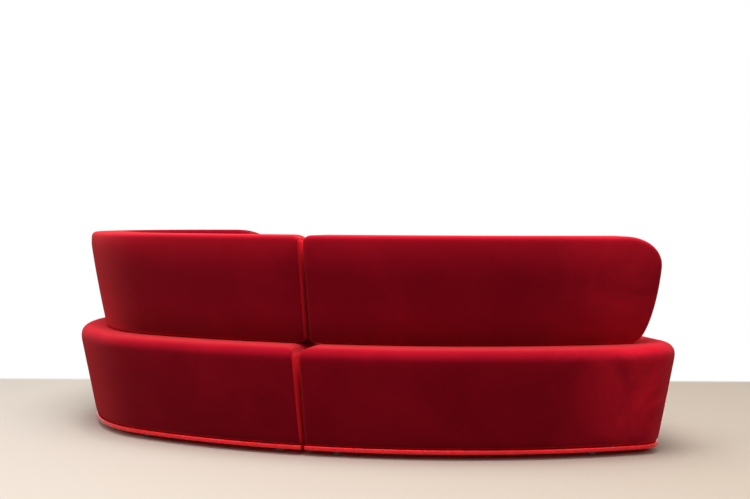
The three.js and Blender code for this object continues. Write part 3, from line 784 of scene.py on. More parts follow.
@dataclass
class BackUpholstery:
    """The padded back of a module, drawn flat along its curve and laid round the plan at its lean."""

    side: Side
    plan: Plan
    # The section: the outer face's offset from the board's edge, and the thickness, at the foot and the top
    foot: float = 0.3543
    top: float = 0.700
    foot_offset: float = -0.039
    top_offset: float = 0.020
    foot_thickness: float = 0.130
    top_thickness: float = 0.108
    edge_radius: float = 0.013
    inner_bulge: float = 0.014
    outer_bulge: float = 0.003
    foot_clearance: float = 0.0007
    # The face at the joint, whose corners are rounder on the inner face
    joint_inset: float = 0.004
    joint_corner: float = 0.023
    inner_joint_corner: float = 0.042
    # The ends, in degrees round the common centre and round the half-round end's, and the wing's two bends
    right_end: float = 17.05
    wrap: float = 172.0
    end_top: Pair = (0.135, 0.099)
    end_foot: float = 0.075
    # The top of the left back, which rolls inwards round the half-round end
    cap_roll: float = 0.010
    cap_roll_from: float = 0.645
    cap_roll_run: float = 0.35
    # The cover
    loft: float = 0.0015
    held_height: float = 0.03
    fit: CoverFit = CoverFit(most=0.0035)
    seam: EndSeam = EndSeam()
    # How many rings or points each stretch has
    edge_steps: int = 4
    face_steps: int = 10
    corner_steps: int = 12
    joint_steps: int = 5
    across_steps: int = 5
    foot_points: int = 160

    @property
    def offset(self) -> float:
        """The middle of the back's thickness at mid height, from the board's edge."""
        return (self.foot_offset + self.top_offset - self.foot_thickness) / 2

    def joint_angle(self, offset: float) -> float:
        """Returns the angle where the back meets the joint at an offset from the board's edge."""
        line = self.plan.joint_line(self.side, self.joint_inset)
        return angle_of(line.crossing(self.plan.outer_radius + offset))

    @property
    def arc_length(self) -> float:
        """The length along the long curve, from the joint to the half-round end."""
        turn = self.joint_angle(self.offset) - math.radians(self.plan.round_end)
        return turn * (self.plan.outer_radius + self.offset)

    @property
    def length(self) -> float:
        """The whole length along the curve."""
        if self.side is Side.RIGHT:
            turn = math.radians(self.right_end) - self.joint_angle(self.offset)
            return turn * (self.plan.outer_radius + self.offset)
        return self.arc_length + math.radians(self.wrap) * (self.plan.depth / 2 + self.offset)

    def thickness(self, height: float) -> float:
        """Returns the back's thickness at a height."""
        return mix(self.foot_thickness, self.top_thickness, (height - self.foot) / (self.top - self.foot))

    def point(self, along: float, height: float, depth: float) -> np.ndarray:
        """Lays a point of the flat drawing round the plan.

        Args:
            along: the length along the curve, from the joint.
            height: the height above the floor.
            depth: the distance outwards from the middle of the back's thickness.

        Returns:
            The point in the sofa's frame.
        """
        rise = (height - self.foot) / (self.top - self.foot)
        offset = mix(self.foot_offset, self.top_offset, rise) - self.thickness(height) / 2 + depth
        if self.side is Side.LEFT:
            rolled = max(0.0, (height - self.cap_roll_from) / (self.top - self.cap_roll_from)) ** 2
            round_cap = float(ease((along - self.arc_length) / self.cap_roll_run + 0.5))
            offset -= self.cap_roll * rolled * round_cap
        radius = self.plan.outer_radius + offset
        joint, round_end = self.joint_angle(offset), math.radians(self.plan.round_end)
        if self.side is Side.RIGHT:
            place = polar(radius, mix(joint, math.radians(self.right_end), along / self.length))
        elif along <= self.arc_length:
            place = polar(radius, mix(joint, round_end, along / self.arc_length))
        else:
            turn = (along - self.arc_length) / (self.plan.depth / 2 + self.offset)
            place = self.plan.cap_centre + polar(self.plan.depth / 2 + offset, round_end - turn)
        return np.array([*self.plan.placed(place), height])

    def stations(self, start: float, end: float) -> list[float]:
        """Divides the back's length, into as many parts for every ring.

        Args:
            start: the length where the first part starts.
            end: the length where the last part ends.

        Returns:
            The lengths of the parts' ends.
        """
        fine = FINENESS[self.side]
        if self.side is Side.RIGHT:
            return [mix(start, end, step / fine.arc) for step in range(fine.arc + 1)]
        arc = [mix(start, self.arc_length, step / fine.arc) for step in range(fine.arc)]
        return arc + [mix(self.arc_length, end, step / fine.cap) for step in range(fine.cap + 1)]

    def foot_line(self) -> np.ndarray:
        """Returns points along the middle of the back's foot, in plan."""
        lengths = np.linspace(0.0, self.length - self.end_foot, self.foot_points)
        return np.array([self.point(along, self.foot, 0.0)[:2] for along in lengths])

    def drawing(self, inset: float, inwards: float) -> list[Triple]:
        """Draws the flat outline, inset all round.

        Args:
            inset: how far inside the back's own outline.
            inwards: 0 at the outer face and 1 at the inner face, where the corner at the joint is rounder.

        Returns:
            For each point its length, its height and the length at which it folds onto the middle height.
        """
        length, foot, top = self.length, self.foot + max(inset, self.foot_clearance), self.top - inset
        joint = max(mix(self.joint_corner, self.inner_joint_corner, inwards) - inset, self.plan.least_corner)
        end_along, end_drop = self.end_top[0], self.end_top[1] - inset
        end_rise = self.top - self.foot - self.end_top[1] - inset
        fold = (self.top - self.foot) / 2 * self.plan.spine_inset_share
        spine = self.stations(fold, length - fold)
        drawn: list[Triple] = []

        def bend(middle: Pair, reach: Pair, start: float, steps: int) -> list[Pair]:
            """Returns a quarter of an ellipse, from a start angle in degrees."""
            turns = [math.radians(start + 90 * step / steps) for step in range(steps + 1)]
            return [(middle[0] + reach[0] * math.cos(t), middle[1] + reach[1] * math.sin(t)) for t in turns]

        def put(points: list[Pair], to: float) -> None:
            """Adds points that all fold onto one length."""
            drawn.extend((along, height, to) for along, height in points)

        for along, to in zip(self.stations(inset + joint, length - self.end_foot), spine):
            put([(along, foot)], to)
        foot_middle = (length - self.end_foot, foot + end_rise)
        top_middle = (length - end_along, top - end_drop)
        put(bend(foot_middle, (self.end_foot - inset, end_rise), -90, self.corner_steps)[1:], spine[-1])
        put(bend(top_middle, (end_along - inset, end_drop), 0, self.corner_steps)[1:-1], spine[-1])
        for along, to in reversed(list(zip(self.stations(inset + joint, length - end_along), spine))):
            put([(along, top)], to)
        put(bend((inset + joint, top - joint), (joint, joint), 90, self.joint_steps)[1:], spine[0])
        for step in range(1, self.face_steps):
            put([(inset, mix(top - joint, foot + joint, step / self.face_steps))], spine[0])
        put(bend((inset + joint, foot + joint), (joint, joint), 180, self.joint_steps)[:-1], spine[0])
        return drawn

    def face_ring(self, outwards: int, share: float) -> np.ndarray:
        """Draws a ring on a face.

        Args:
            outwards: 1 for the outer face, -1 for the inner one.
            share: how far the ring is folded towards the middle height.

        Returns:
            The ring's points.
        """
        bulge = self.outer_bulge if outwards > 0 else self.inner_bulge
        swell = bulge * (1 - (1 - share) ** 2) + self.loft
        middle = (self.foot + self.top) / 2
        ring = []
        for along, height, to in self.drawing(self.edge_radius, float(outwards < 0)):
            up = mix(height, middle, share)
            ring.append(self.point(mix(along, to, share), up, outwards * (self.thickness(up) / 2 + swell)))
        return np.array(ring)

    def edge_ring(self, outwards: int, turn: float) -> np.ndarray:
        """Draws a ring on the rounded edge.

        Args:
            outwards: 1 for the edge of the outer face, -1 for that of the inner one.
            turn: from 0 on the edge itself to a quarter turn at the face, in radians.

        Returns:
            The ring's points.
        """
        roll = self.edge_radius + self.loft
        ring = []
        for along, height, _ in self.drawing(self.edge_radius - roll * math.cos(turn), float(outwards < 0)):
            depth = self.thickness(height) / 2 - self.edge_radius + roll * math.sin(turn)
            ring.append(self.point(along, height, outwards * depth))
        return np.array(ring)

    def rim_ring(self, share: float) -> np.ndarray:
        """Draws a ring across the thickness, between the two rounded edges.

        Args:
            share: from 0 at the outer edge to 1 at the inner one.

        Returns:
            The ring's points.
        """
        ring = []
        for along, height, _ in self.drawing(-self.loft, share):
            reach = self.thickness(height) / 2 - self.edge_radius
            ring.append(self.point(along, height, mix(reach, -reach, share)))
        return np.array(ring)

    def seam_path(self) -> np.ndarray:
        """Draws the seam's course.

        Returns:
            The line up the outer edge of the joint's face, over its top and down its inner edge.
        """
        outer, inner = (self.edge_ring(outwards, math.radians(SEAM_TURN)) for outwards in (1, -1))
        upright = self.face_steps - 1 + 2 * self.joint_steps
        top = upright - self.joint_steps // 2
        over = [self.rim_ring(step / self.across_steps)[-top] for step in range(1, self.across_steps)]
        return np.array([*outer[-2 : -top - 1 : -1], *over, *inner[-top:-1]])

    def build(self, velvet: bpy.types.Material) -> bpy.types.Object:
        """Models, settles and dresses the back.

        Args:
            velvet: its material.

        Returns:
            The finished piece.
        """
        folds = [step / self.face_steps for step in range(self.face_steps + 1)]
        turns = [math.radians(90 * step / self.edge_steps) for step in range(self.edge_steps)]
        rings = [self.face_ring(1, share) for share in reversed(folds)]
        rings += [self.edge_ring(1, turn) for turn in reversed(turns)]
        rings += [self.rim_ring(step / self.across_steps) for step in range(1, self.across_steps)]
        rings += [self.edge_ring(-1, turn) for turn in turns]
        rings += [self.face_ring(-1, share) for share in folds]
        piece = closed_form(f"{self.side.value}_back_upholstery", rings, around=False)
        heights = coordinates(piece.data)[:, 2]
        self.fit.settle(piece, ease((heights - self.foot - self.foot_clearance) / self.held_height))
        finish_cover(piece, self.seam, self.seam_path())
        dress(piece, velvet, [f"{self.side.value}_{part}" for part in ("back_cover", "back_foam")])
        return piece


@dataclass
class BaseBoard:
    """The lacquered board under a module, with its edges eased and holes for its screws."""

    side: Side
    plan: Plan
    bottom: float = 0.020
    thickness: float = 0.014
    eased: float = 0.003
    eased_steps: int = 5
    joint_corner: float = 0.009
    # An edge is eased, and shaded sharp, where it turns by more than these angles in degrees
    eased_from: float = 60.0
    sharp_from: float = 40.0
    # The holes, which are blind
    hole_radius: float = 0.0023
    bolt_hole_radius: float = 0.0043
    hole_top: float = 0.0313
    hole_sides: int = 24
    drill_overrun: float = 0.01

    def build(self, lacquer: bpy.types.Material) -> bpy.types.Object:
        """Models and dresses the board.

        Args:
            lacquer: its material.

        Returns:
            The finished piece.
        """
        points, _ = outline(self.plan, self.side, 0.0, 0.0, 0.0, self.joint_corner)
        deselect_all()
        bpy.ops.mesh.primitive_circle_add(vertices=len(points), radius=1.0, fill_type="NGON")
        piece = bpy.context.object
        piece.name = piece.data.name = f"{self.side.value}_lacquered_board"
        around = coordinates(piece.data)
        places = np.zeros_like(around)
        turn = np.argsort(np.arctan2(around[:, 1], around[:, 0]))
        places[turn, :2] = points if self.signed_area(points) > 0 else points[::-1]
        places[:, 2] = self.bottom
        move_points(piece.data, places)
        bpy.ops.object.mode_set(mode="EDIT")
        bpy.ops.mesh.select_all(action="SELECT")
        bpy.ops.mesh.extrude_region_move(TRANSFORM_OT_translate={"value": (0.0, 0.0, self.thickness)})
        bpy.ops.mesh.select_all(action="SELECT")
        bpy.ops.mesh.normals_make_consistent(inside=False)
        bpy.ops.object.mode_set(mode="OBJECT")
        finish_modifier(
            piece, "BEVEL", width=self.eased, segments=self.eased_steps,
            limit_method="ANGLE", angle_limit=math.radians(self.eased_from),
        )
        self.bore(piece)
        select_only(piece)
        bpy.ops.object.shade_smooth_by_angle(angle=math.radians(self.sharp_from))
        dress(piece, lacquer, [f"{self.side.value}_base_board"])
        return piece

    @staticmethod
    def signed_area(points: np.ndarray) -> float:
        """Returns the area inside the points, negative where they run clockwise."""
        after = np.roll(points, -1, axis=0)
        return float((points[:, 0] * after[:, 1] - after[:, 0] * points[:, 1]).sum()) / 2

    def bore(self, piece: bpy.types.Object) -> None:
        """Bores the holes for the glide screws and the link bolt.

        Args:
            piece: the board.
        """
        prefix = f"{self.side.value}_"
        screws = sorted(node for node in frame["nodes"] if node.startswith(prefix + "glide_screw"))
        holes = [(node, self.hole_radius) for node in screws]
        holes.append((prefix + "link_bolt", self.bolt_hole_radius))
        depth = self.hole_top - self.bottom + self.drill_overrun
        for node, radius in holes:
            low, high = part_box(node)
            middle = (low + high) / 2
            deselect_all()
            bpy.ops.mesh.primitive_cylinder_add(
                vertices=self.hole_sides, radius=radius, depth=depth,
                location=(middle.x, middle.y, self.hole_top - depth / 2),
            )
            drill = bpy.context.object
            finish_modifier(piece, "BOOLEAN", operation="DIFFERENCE", solver="EXACT", object=drill)
            bpy.data.objects.remove(drill)


@dataclass
class Glides:
    """The round moulded glides, modelled once and copied under both boards."""

    radius: float = 0.019
    taper: float = 0.002
    height: float = 0.0197
    sides: int = 48
    eased: float = 0.0015
    eased_steps: int = 3
    # The counterbore for the screw's head
    recess_radius: float = 0.0049
    recess_depth: float = 0.005
    # How a face that points down is known, and one that lies flat
    down: float = -0.9
    flat_down: float = -0.999
    sharp_from: float = 35.0

    def pattern(self) -> bpy.types.Object:
        """Models one glide round the Z axis, with a counterbore for its screw.

        Returns:
            The pattern, at the origin.
        """
        deselect_all()
        bpy.ops.mesh.primitive_cylinder_add(
            vertices=self.sides, radius=self.radius, depth=self.height, location=(0.0, 0.0, self.height / 2)
        )
        piece = bpy.context.object
        bpy.ops.object.transform_apply(location=True, rotation=False, scale=False)
        bpy.ops.object.mode_set(mode="EDIT")
        select_faces(piece.data, lambda face: face.normal.z < self.down)
        narrow = 1 - self.taper / self.radius
        bpy.ops.transform.resize(value=(narrow, narrow, 1.0))
        bpy.ops.mesh.bevel(offset=self.eased, segments=self.eased_steps, affect="EDGES")
        select_faces(
            piece.data, lambda face: face.normal.z < self.flat_down and len(face.verts) == self.sides
        )
        floor_radius = self.radius - self.taper - self.eased
        bpy.ops.mesh.inset(thickness=floor_radius - self.recess_radius, depth=0.0)
        bpy.ops.mesh.extrude_region_move(TRANSFORM_OT_translate={"value": (0.0, 0.0, self.recess_depth)})
        bpy.ops.object.mode_set(mode="OBJECT")
        return piece

    def build(self, nylon: bpy.types.Material) -> list[bpy.types.Object]:
        """Copies the glide to each of its places and removes the pattern.

        Args:
            nylon: its material.

        Returns:
            The finished pieces.
        """
        pattern = self.pattern()
        pieces = []
        for node in sorted(name for name in frame["nodes"] if "glide" in name and "screw" not in name):
            low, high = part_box(node)
            piece = pattern.copy()
            piece.data = pattern.data.copy()
            piece.name = f"{node}_moulded"
            piece.data.transform(Matrix.Translation(((low.x + high.x) / 2, (low.y + high.y) / 2, 0.0)))
            bpy.context.scene.collection.objects.link(piece)
            select_only(piece)
            bpy.ops.object.shade_smooth_by_angle(angle=math.radians(self.sharp_from))
            dress(piece, nylon, [node])
            pieces.append(piece)
        bpy.data.objects.remove(pattern)
        return pieces


# Finishes


# The two colours and the result of a Mix node, whose names its other sockets share
COLOUR_A, COLOUR_B, COLOUR_RESULT = 6, 7, 2


def add_node(
    tree: bpy.types.NodeTree, kind: str, inputs: dict[str | int, object] | None = None, **settings: object
) -> bpy.types.Node:
    """Adds a shader node with its inputs and its settings.

    Args:
        tree: the nodes of a material or the world.
        kind: the node's type.
        inputs: what goes into each input: a value, another node's socket, or a node for its first output.
        settings: the node's own settings.

    Returns:
        The new node.
    """
    node = tree.nodes.new(kind)
    for name, value in settings.items():
        setattr(node, name, value)
    for name, value in (inputs or {}).items():
        source = value.outputs[0] if isinstance(value, bpy.types.Node) else value
        if isinstance(source, bpy.types.NodeSocket):
            tree.links.new(source, node.inputs[name])
        else:
            node.inputs[name].default_value = source
    return node


def span(given: Pair, wanted: Pair = (0.0, 1.0)) -> dict[str, float]:
    """Returns the inputs that turn one range of values into another."""
    return {"From Min": given[0], "From Max": given[1], "To Min": wanted[0], "To Max": wanted[1]}


def new_material(name: str) -> tuple[bpy.types.Material, bpy.types.NodeTree, bpy.types.NodeSocket]:
    """Starts a material.

    Args:
        name: its name.

    Returns:
        The material, its nodes and the place on the piece.
    """
    material = bpy.data.materials.new(name)
    material.use_nodes = True
    material.node_tree.nodes.clear()
    place = add_node(material.node_tree, "ShaderNodeTexCoord").outputs["Object"]
    return material, material.node_tree, place


@dataclass(frozen=True)
class PaintedLightBand:
    """A level band of painted light from above: up it the colour grows lighter, towards the brushed pile's.
    """

    low: float
    high: float
    most: float
    power: float


# Cut pile swallows light met head-on; a painted sheen stands in for its tips shining where the cloth turns
# away
@dataclass(frozen=True)
class Velvet:
    """Short-pile crimson cotton velvet, woven, cut and brushed: deep with soft brighter strokes, and painted
    light and shade.
    """

    name: str
    # Level bands of painted light, lighter towards their tops as if lit from above
    painted_light_bands: tuple[PaintedLightBand, ...]
    # How far the pile is brushed up at the square end
    end_most: float
    # The band beside the joint, as distances from it: painted light on the faces in the gap, where the pile
    # also opens
    joint_band: Pair
    band_blur: Pair = (0.001, 0.0015)
    band_most: float = 1.0
    # How much narrower that band gets in each metre below its top
    band_taper: float = 0.0
    band_top: float = 0.354
    # Where the square end is, between two places along X
    square_end: Pair = (0.50, 1.0)
    # Painted shade: the colour is scaled down towards the foot, between two heights
    painted_shade_heights: Pair = (0.0, 0.001)
    painted_foot_shade: float = 1.0
    # Painted shade on the far wing's top, by Y and Z, which cuts the brushed colour and the painted sheen
    far_painted_shade: float = 1.0
    far_along: Pair = (0.05, 0.25)
    far_above: Pair = (0.60, 0.68)
    # The dye on pile that lies flat and on brushed pile, whose colour also carries the painted light
    deep: str = "#9b0a20"
    brushed: str = "#fb223a"
    # The painted sheen's colour, mixed in by the facing angle where the cloth turns away from the eye
    painted_sheen: str = "#ff464e"
    painted_sheen_from: float = 0.25
    painted_sheen_most: float = 0.75
    sheen: str = "#ff7a7c"
    sheen_weight: float = 0.5
    sheen_roughness: float = 0.45
    roughness: Pair = (0.78, 0.95)
    # The patches and strokes of the nap, by the size of a hand and of its fingers
    nap_patch: float = 0.22
    stroke: float = 0.035
    noise_middle: Pair = (0.3, 0.7)
    noise_core: Pair = (0.35, 0.65)
    faint_patches: Pair = (-0.06, 0.10)
    end_patches: Pair = (0.65, 1.5)
    # Tufts are about 0.3 mm apart, and are drawn coarser so that they show
    tuft: float = 0.0016
    tuft_height: float = 0.0005
    tuft_strength: float = 0.2

    def nap_and_painted_light(
        self, tree: bpy.types.NodeTree, place: bpy.types.NodeSocket, parts: bpy.types.Node
    ) -> bpy.types.Node:
        """Finds out how much of the brushed colour goes in: nap patches, and painted light in the bands and
        by the joint.

        Args:
            tree: the material's nodes.
            place: the place on the piece.
            parts: that place's X, Y and Z.

        Returns:
            The node that says it, from 0 to 1.
        """
        patch = add_node(tree, "ShaderNodeTexNoise", {
            "Vector": place, "Scale": 1 / self.nap_patch, "Detail": 4.0, "Roughness": 0.6, "Distortion": 0.6,
        })
        total = add_node(
            tree, "ShaderNodeMapRange", {"Value": patch, **span(self.noise_middle, self.faint_patches)}
        )
        cloud = add_node(
            tree, "ShaderNodeMapRange", {"Value": patch, **span(self.noise_core, self.end_patches)}
        )
        end = add_node(
            tree, "ShaderNodeMapRange",
            {"Value": parts.outputs["X"], **span(self.square_end, (0.0, self.end_most))},
            interpolation_type="SMOOTHERSTEP",
        )
        lifts = [add_node(tree, "ShaderNodeMath", {0: end, 1: cloud}, operation="MULTIPLY")]
        lifts.append(self.opened_edge_and_painted_light(tree, place, parts))
        for band in self.painted_light_bands:
            height = add_node(
                tree, "ShaderNodeMapRange", {"Value": parts.outputs["Z"], **span((band.low, band.high))}
            )
            rise = add_node(tree, "ShaderNodeMath", {0: height, 1: band.power}, operation="POWER")
            lifts.append(add_node(tree, "ShaderNodeMath", {0: rise, 1: band.most}, operation="MULTIPLY"))
        for lift in lifts:
            total = add_node(tree, "ShaderNodeMath", {0: total, 1: lift}, operation="ADD")
        return add_node(tree, "ShaderNodeClamp", {"Value": total})

    def opened_edge_and_painted_light(
        self, tree: bpy.types.NodeTree, place: bpy.types.NodeSocket, parts: bpy.types.Node
    ) -> bpy.types.Node:
        """Finds the band beside the joint: painted light in the gap, where a sewn edge also opens the pile.

        Args:
            tree: the material's nodes.
            place: the place on the piece.
            parts: that place's X, Y and Z.

        Returns:
            The node that gives band_most on the band and 0 elsewhere.
        """
        plan = Plan()
        line = plan.joint_line(Side.RIGHT, 0.0)
        middle = line.offset - plan.gap / 2 + float(line.into @ np.array(plan.centre))
        flat = add_node(
            tree, "ShaderNodeVectorMath", {0: place, 1: (*line.into, 0.0)}, operation="DOT_PRODUCT"
        )
        from_middle = {0: flat.outputs["Value"], 1: middle}
        signed = add_node(tree, "ShaderNodeMath", from_middle, operation="SUBTRACT")
        away = add_node(tree, "ShaderNodeMath", {0: signed}, operation="ABSOLUTE")
        taper = {0: parts.outputs["Z"], 1: -self.band_taper, 2: self.band_taper * self.band_top}
        lower = add_node(tree, "ShaderNodeMath", taper, operation="MULTIPLY_ADD")
        tapered = add_node(tree, "ShaderNodeMath", {0: away, 1: lower}, operation="ADD")
        (start, stop), (blur_in, blur_out) = self.joint_band, self.band_blur
        near = add_node(
            tree, "ShaderNodeMapRange", {"Value": away, **span((start - blur_in, start))},
            interpolation_type="SMOOTHSTEP",
        )
        far = add_node(
            tree, "ShaderNodeMapRange",
            {"Value": tapered, **span((stop, stop + blur_out), (self.band_most, 0.0))},
            interpolation_type="SMOOTHSTEP",
        )
        return add_node(tree, "ShaderNodeMath", {0: near, 1: far}, operation="MULTIPLY")

    def far_wing_painted_shade(self, tree: bpy.types.NodeTree, parts: bpy.types.Node) -> bpy.types.Node:
        """Finds the far wing's top, where shade is painted.

        Args:
            tree: the material's nodes.
            parts: the X, Y and Z of the place on the piece.

        Returns:
            The node that gives far_painted_shade there and 1 elsewhere.
        """
        beyond, above = (
            add_node(
                tree, "ShaderNodeMapRange", {"Value": parts.outputs[axis], **span(ends)},
                interpolation_type="SMOOTHSTEP",
            )
            for axis, ends in (("Y", self.far_along), ("Z", self.far_above))
        )
        top = add_node(tree, "ShaderNodeMath", {0: beyond, 1: above}, operation="MULTIPLY")
        shade = {0: top, 1: self.far_painted_shade - 1.0, 2: 1.0}
        return add_node(tree, "ShaderNodeMath", shade, operation="MULTIPLY_ADD")

    def build(self) -> bpy.types.Material:
        """Makes the velvet.

        Returns:
            The material.
        """
        material, tree, place = new_material(self.name)
        parts = add_node(tree, "ShaderNodeSeparateXYZ", {"Vector": place})
        # Painted shade on the far wing's top
        far = self.far_wing_painted_shade(tree, parts)
        nap_and_painted_light = add_node(
            tree, "ShaderNodeMath", {0: self.nap_and_painted_light(tree, place, parts), 1: far}, operation="MULTIPLY"
        )
        colour = add_node(
            tree, "ShaderNodeMix",
            {"Factor": nap_and_painted_light, COLOUR_A: linear(self.deep), COLOUR_B: linear(self.brushed)}, data_type="RGBA",
        )
        # Painted shade towards the foot
        foot = add_node(
            tree, "ShaderNodeMapRange",
            {"Value": parts.outputs["Z"], **span(self.painted_shade_heights, (self.painted_foot_shade, 1.0))},
            interpolation_type="SMOOTHSTEP",
        )
        shaded = add_node(
            tree, "ShaderNodeVectorMath", {"Vector": colour.outputs[COLOUR_RESULT], "Scale": foot},
            operation="SCALE",
        )
        stroke = add_node(tree, "ShaderNodeTexNoise", {
            "Vector": place, "Scale": 1 / self.stroke, "Detail": 4.0, "Roughness": 0.6, "Distortion": 1.5,
        })
        tufts = add_node(
            tree, "ShaderNodeTexNoise", {"Vector": place, "Scale": 1 / self.tuft, "Detail": 2.0}
        )
        surface = add_node(tree, "ShaderNodeBsdfPrincipled", {
            "Base Color": shaded,
            "Roughness": add_node(
                tree, "ShaderNodeMapRange", {"Value": stroke, **span(self.noise_middle, self.roughness)}
            ),
            "Normal": add_node(tree, "ShaderNodeBump", {
                "Height": tufts, "Strength": self.tuft_strength, "Distance": self.tuft_height,
            }),
            "Specular IOR Level": 0.0,
            "Sheen Weight": self.sheen_weight,
            "Sheen Roughness": self.sheen_roughness,
            "Sheen Tint": linear(self.sheen),
        })
        # Painted sheen: a brighter colour mixed in where the cloth turns away from the eye
        turned = add_node(tree, "ShaderNodeLayerWeight", {"Blend": 0.5}).outputs["Facing"]
        most = add_node(
            tree, "ShaderNodeMapRange",
            {"Value": turned, **span((self.painted_sheen_from, 1.0), (0.0, self.painted_sheen_most))},
            interpolation_type="SMOOTHSTEP",
        )
        painted_sheen_share = add_node(tree, "ShaderNodeMath", {0: most, 1: far}, operation="MULTIPLY")
        painted_sheen = add_node(tree, "ShaderNodeBsdfDiffuse", {"Color": linear(self.painted_sheen), "Roughness": 0.0})
        mixed = add_node(tree, "ShaderNodeMixShader", {0: painted_sheen_share, 1: surface, 2: painted_sheen})
        add_node(tree, "ShaderNodeOutputMaterial", {"Surface": mixed})
        return material


# Sprayed lacquer flows out and is polished, so its edge is clear and bright over a faint orange peel
@dataclass(frozen=True)
class Lacquer:
    """High-gloss red lacquer with a metal flake, sprayed on a board and polished."""

    colour: str = "#fc1426"
    flake: float = 0.6
    roughness: Pair = (0.2, 0.34)
    specular: float = 0.2
    coat: float = 0.4
    coat_roughness: float = 0.08
    wear_patch: float = 0.04
    # Orange peel is 2 to 5 mm wide, and is drawn a little coarser so that it shows
    peel: float = 0.006
    peel_height: float = 0.0004
    peel_strength: float = 0.03

    def build(self) -> bpy.types.Material:
        """Makes the lacquer.

        Returns:
            The material.
        """
        material, tree, place = new_material("gloss_lacquer")
        wear = add_node(
            tree, "ShaderNodeTexNoise", {"Vector": place, "Scale": 1 / self.wear_patch, "Detail": 4.0}
        )
        peel = add_node(
            tree, "ShaderNodeTexNoise", {"Vector": place, "Scale": 1 / self.peel, "Detail": 1.0}
        )
        surface = add_node(tree, "ShaderNodeBsdfPrincipled", {
            "Base Color": linear(self.colour),
            "Metallic": self.flake,
            "Roughness": add_node(
                tree, "ShaderNodeMapRange", {"Value": wear, **span((0.0, 1.0), self.roughness)}
            ),
            "Normal": add_node(tree, "ShaderNodeBump", {
                "Height": peel, "Strength": self.peel_strength, "Distance": self.peel_height,
            }),
            "Specular IOR Level": self.specular,
            "Coat Weight": self.coat,
            "Coat Roughness": self.coat_roughness,
        })
        add_node(tree, "ShaderNodeOutputMaterial", {"Surface": surface})
        return material


# The grain is too fine for the eye as such, and shows as an even softness of the highlights
@dataclass(frozen=True)
class Speckled:
    """A plain finish with a fine grain: moulded nylon, powder coat or zinc plate, as its values say."""

    name: str
    dark: str
    light: str
    grain: float
    roughness: Pair
    metallic: float = 0.0
    strength: float = 0.1
    grain_height: float = 0.0002

    def build(self) -> bpy.types.Material:
        """Makes the finish.

        Returns:
            The material.
        """
        material, tree, place = new_material(self.name)
        grain = add_node(
            tree, "ShaderNodeTexNoise", {"Vector": place, "Scale": 1 / self.grain, "Detail": 3.0}
        )
        colour = add_node(
            tree, "ShaderNodeMix",
            {"Factor": grain, COLOUR_A: linear(self.dark), COLOUR_B: linear(self.light)}, data_type="RGBA",
        )
        surface = add_node(tree, "ShaderNodeBsdfPrincipled", {
            "Base Color": colour.outputs[COLOUR_RESULT],
            "Metallic": self.metallic,
            "Roughness": add_node(
                tree, "ShaderNodeMapRange", {"Value": grain, **span((0.0, 1.0), self.roughness)}
            ),
            "Normal": add_node(tree, "ShaderNodeBump", {
                "Height": grain, "Strength": self.strength, "Distance": self.grain_height,
            }),
        })
        add_node(tree, "ShaderNodeOutputMaterial", {"Surface": surface})
        return material


# Peeled birch is pale and even, with long soft grain along the sheet and thin dark plies at its edges
@dataclass(frozen=True)
class Plywood:
    """Raw birch plywood, peeled and pressed."""

    pale: str = "#d9b887"
    grain: str = "#b98f5c"
    roughness: float = 0.65
    grain_width: float = 0.012
    grain_stretch: Triple = (0.15, 1.0, 1.0)
    grain_height: float = 0.0003
    grain_strength: float = 0.15
    # Drawn about six times as coarse, so that the plies show
    ply: float = 0.0015
    # A Wave texture turns through this many radians in a unit of its scale
    wave_turn: float = 20.0

    def build(self) -> bpy.types.Material:
        """Makes the plywood.

        Returns:
            The material.
        """
        material, tree, place = new_material("birch_plywood")
        stretch = add_node(tree, "ShaderNodeMapping", {"Vector": place, "Scale": self.grain_stretch})
        noise = add_node(tree, "ShaderNodeTexNoise", {
            "Vector": stretch, "Scale": 1 / self.grain_width, "Detail": 5.0, "Distortion": 1.0,
        })
        plies = add_node(
            tree, "ShaderNodeTexWave",
            {"Vector": place, "Scale": 1 / self.ply / self.wave_turn, "Distortion": 0.4},
            bands_direction="Z",
        )
        shade = add_node(tree, "ShaderNodeMath", {0: noise, 1: plies.outputs["Fac"]}, operation="MULTIPLY")
        colour = add_node(
            tree, "ShaderNodeMix",
            {"Factor": shade, COLOUR_A: linear(self.pale), COLOUR_B: linear(self.grain)}, data_type="RGBA",
        )
        surface = add_node(tree, "ShaderNodeBsdfPrincipled", {
            "Base Color": colour.outputs[COLOUR_RESULT],
            "Roughness": self.roughness,
            "Normal": add_node(tree, "ShaderNodeBump", {
                "Height": noise, "Strength": self.grain_strength, "Distance": self.grain_height,
            }),
        })
        add_node(tree, "ShaderNodeOutputMaterial", {"Surface": surface})
        return material


# Rubber threads in a polyester weave leave the straps matt, with fine ribs across them
@dataclass(frozen=True)
class Webbing:
    """Black elastic webbing, woven of rubber and polyester."""

    dark: str = "#1b1b1d"
    light: str = "#3a3a3d"
    roughness: float = 0.85
    rib: float = 0.003
    rib_height: float = 0.0003
    rib_strength: float = 0.3

    def build(self) -> bpy.types.Material:
        """Makes the webbing.

        Returns:
            The material.
        """
        material, tree, place = new_material("elastic_webbing")
        ribs = add_node(tree, "ShaderNodeTexChecker", {
            "Vector": place,
            "Scale": 1 / self.rib,
            "Color1": linear(self.dark),
            "Color2": linear(self.light),
        })
        surface = add_node(tree, "ShaderNodeBsdfPrincipled", {
            "Base Color": ribs.outputs["Color"],
            "Roughness": self.roughness,
            "Normal": add_node(tree, "ShaderNodeBump", {
                "Height": ribs.outputs["Fac"], "Strength": self.rib_strength, "Distance": self.rib_height,
            }),
        })
        add_node(tree, "ShaderNodeOutputMaterial", {"Surface": surface})
        return material


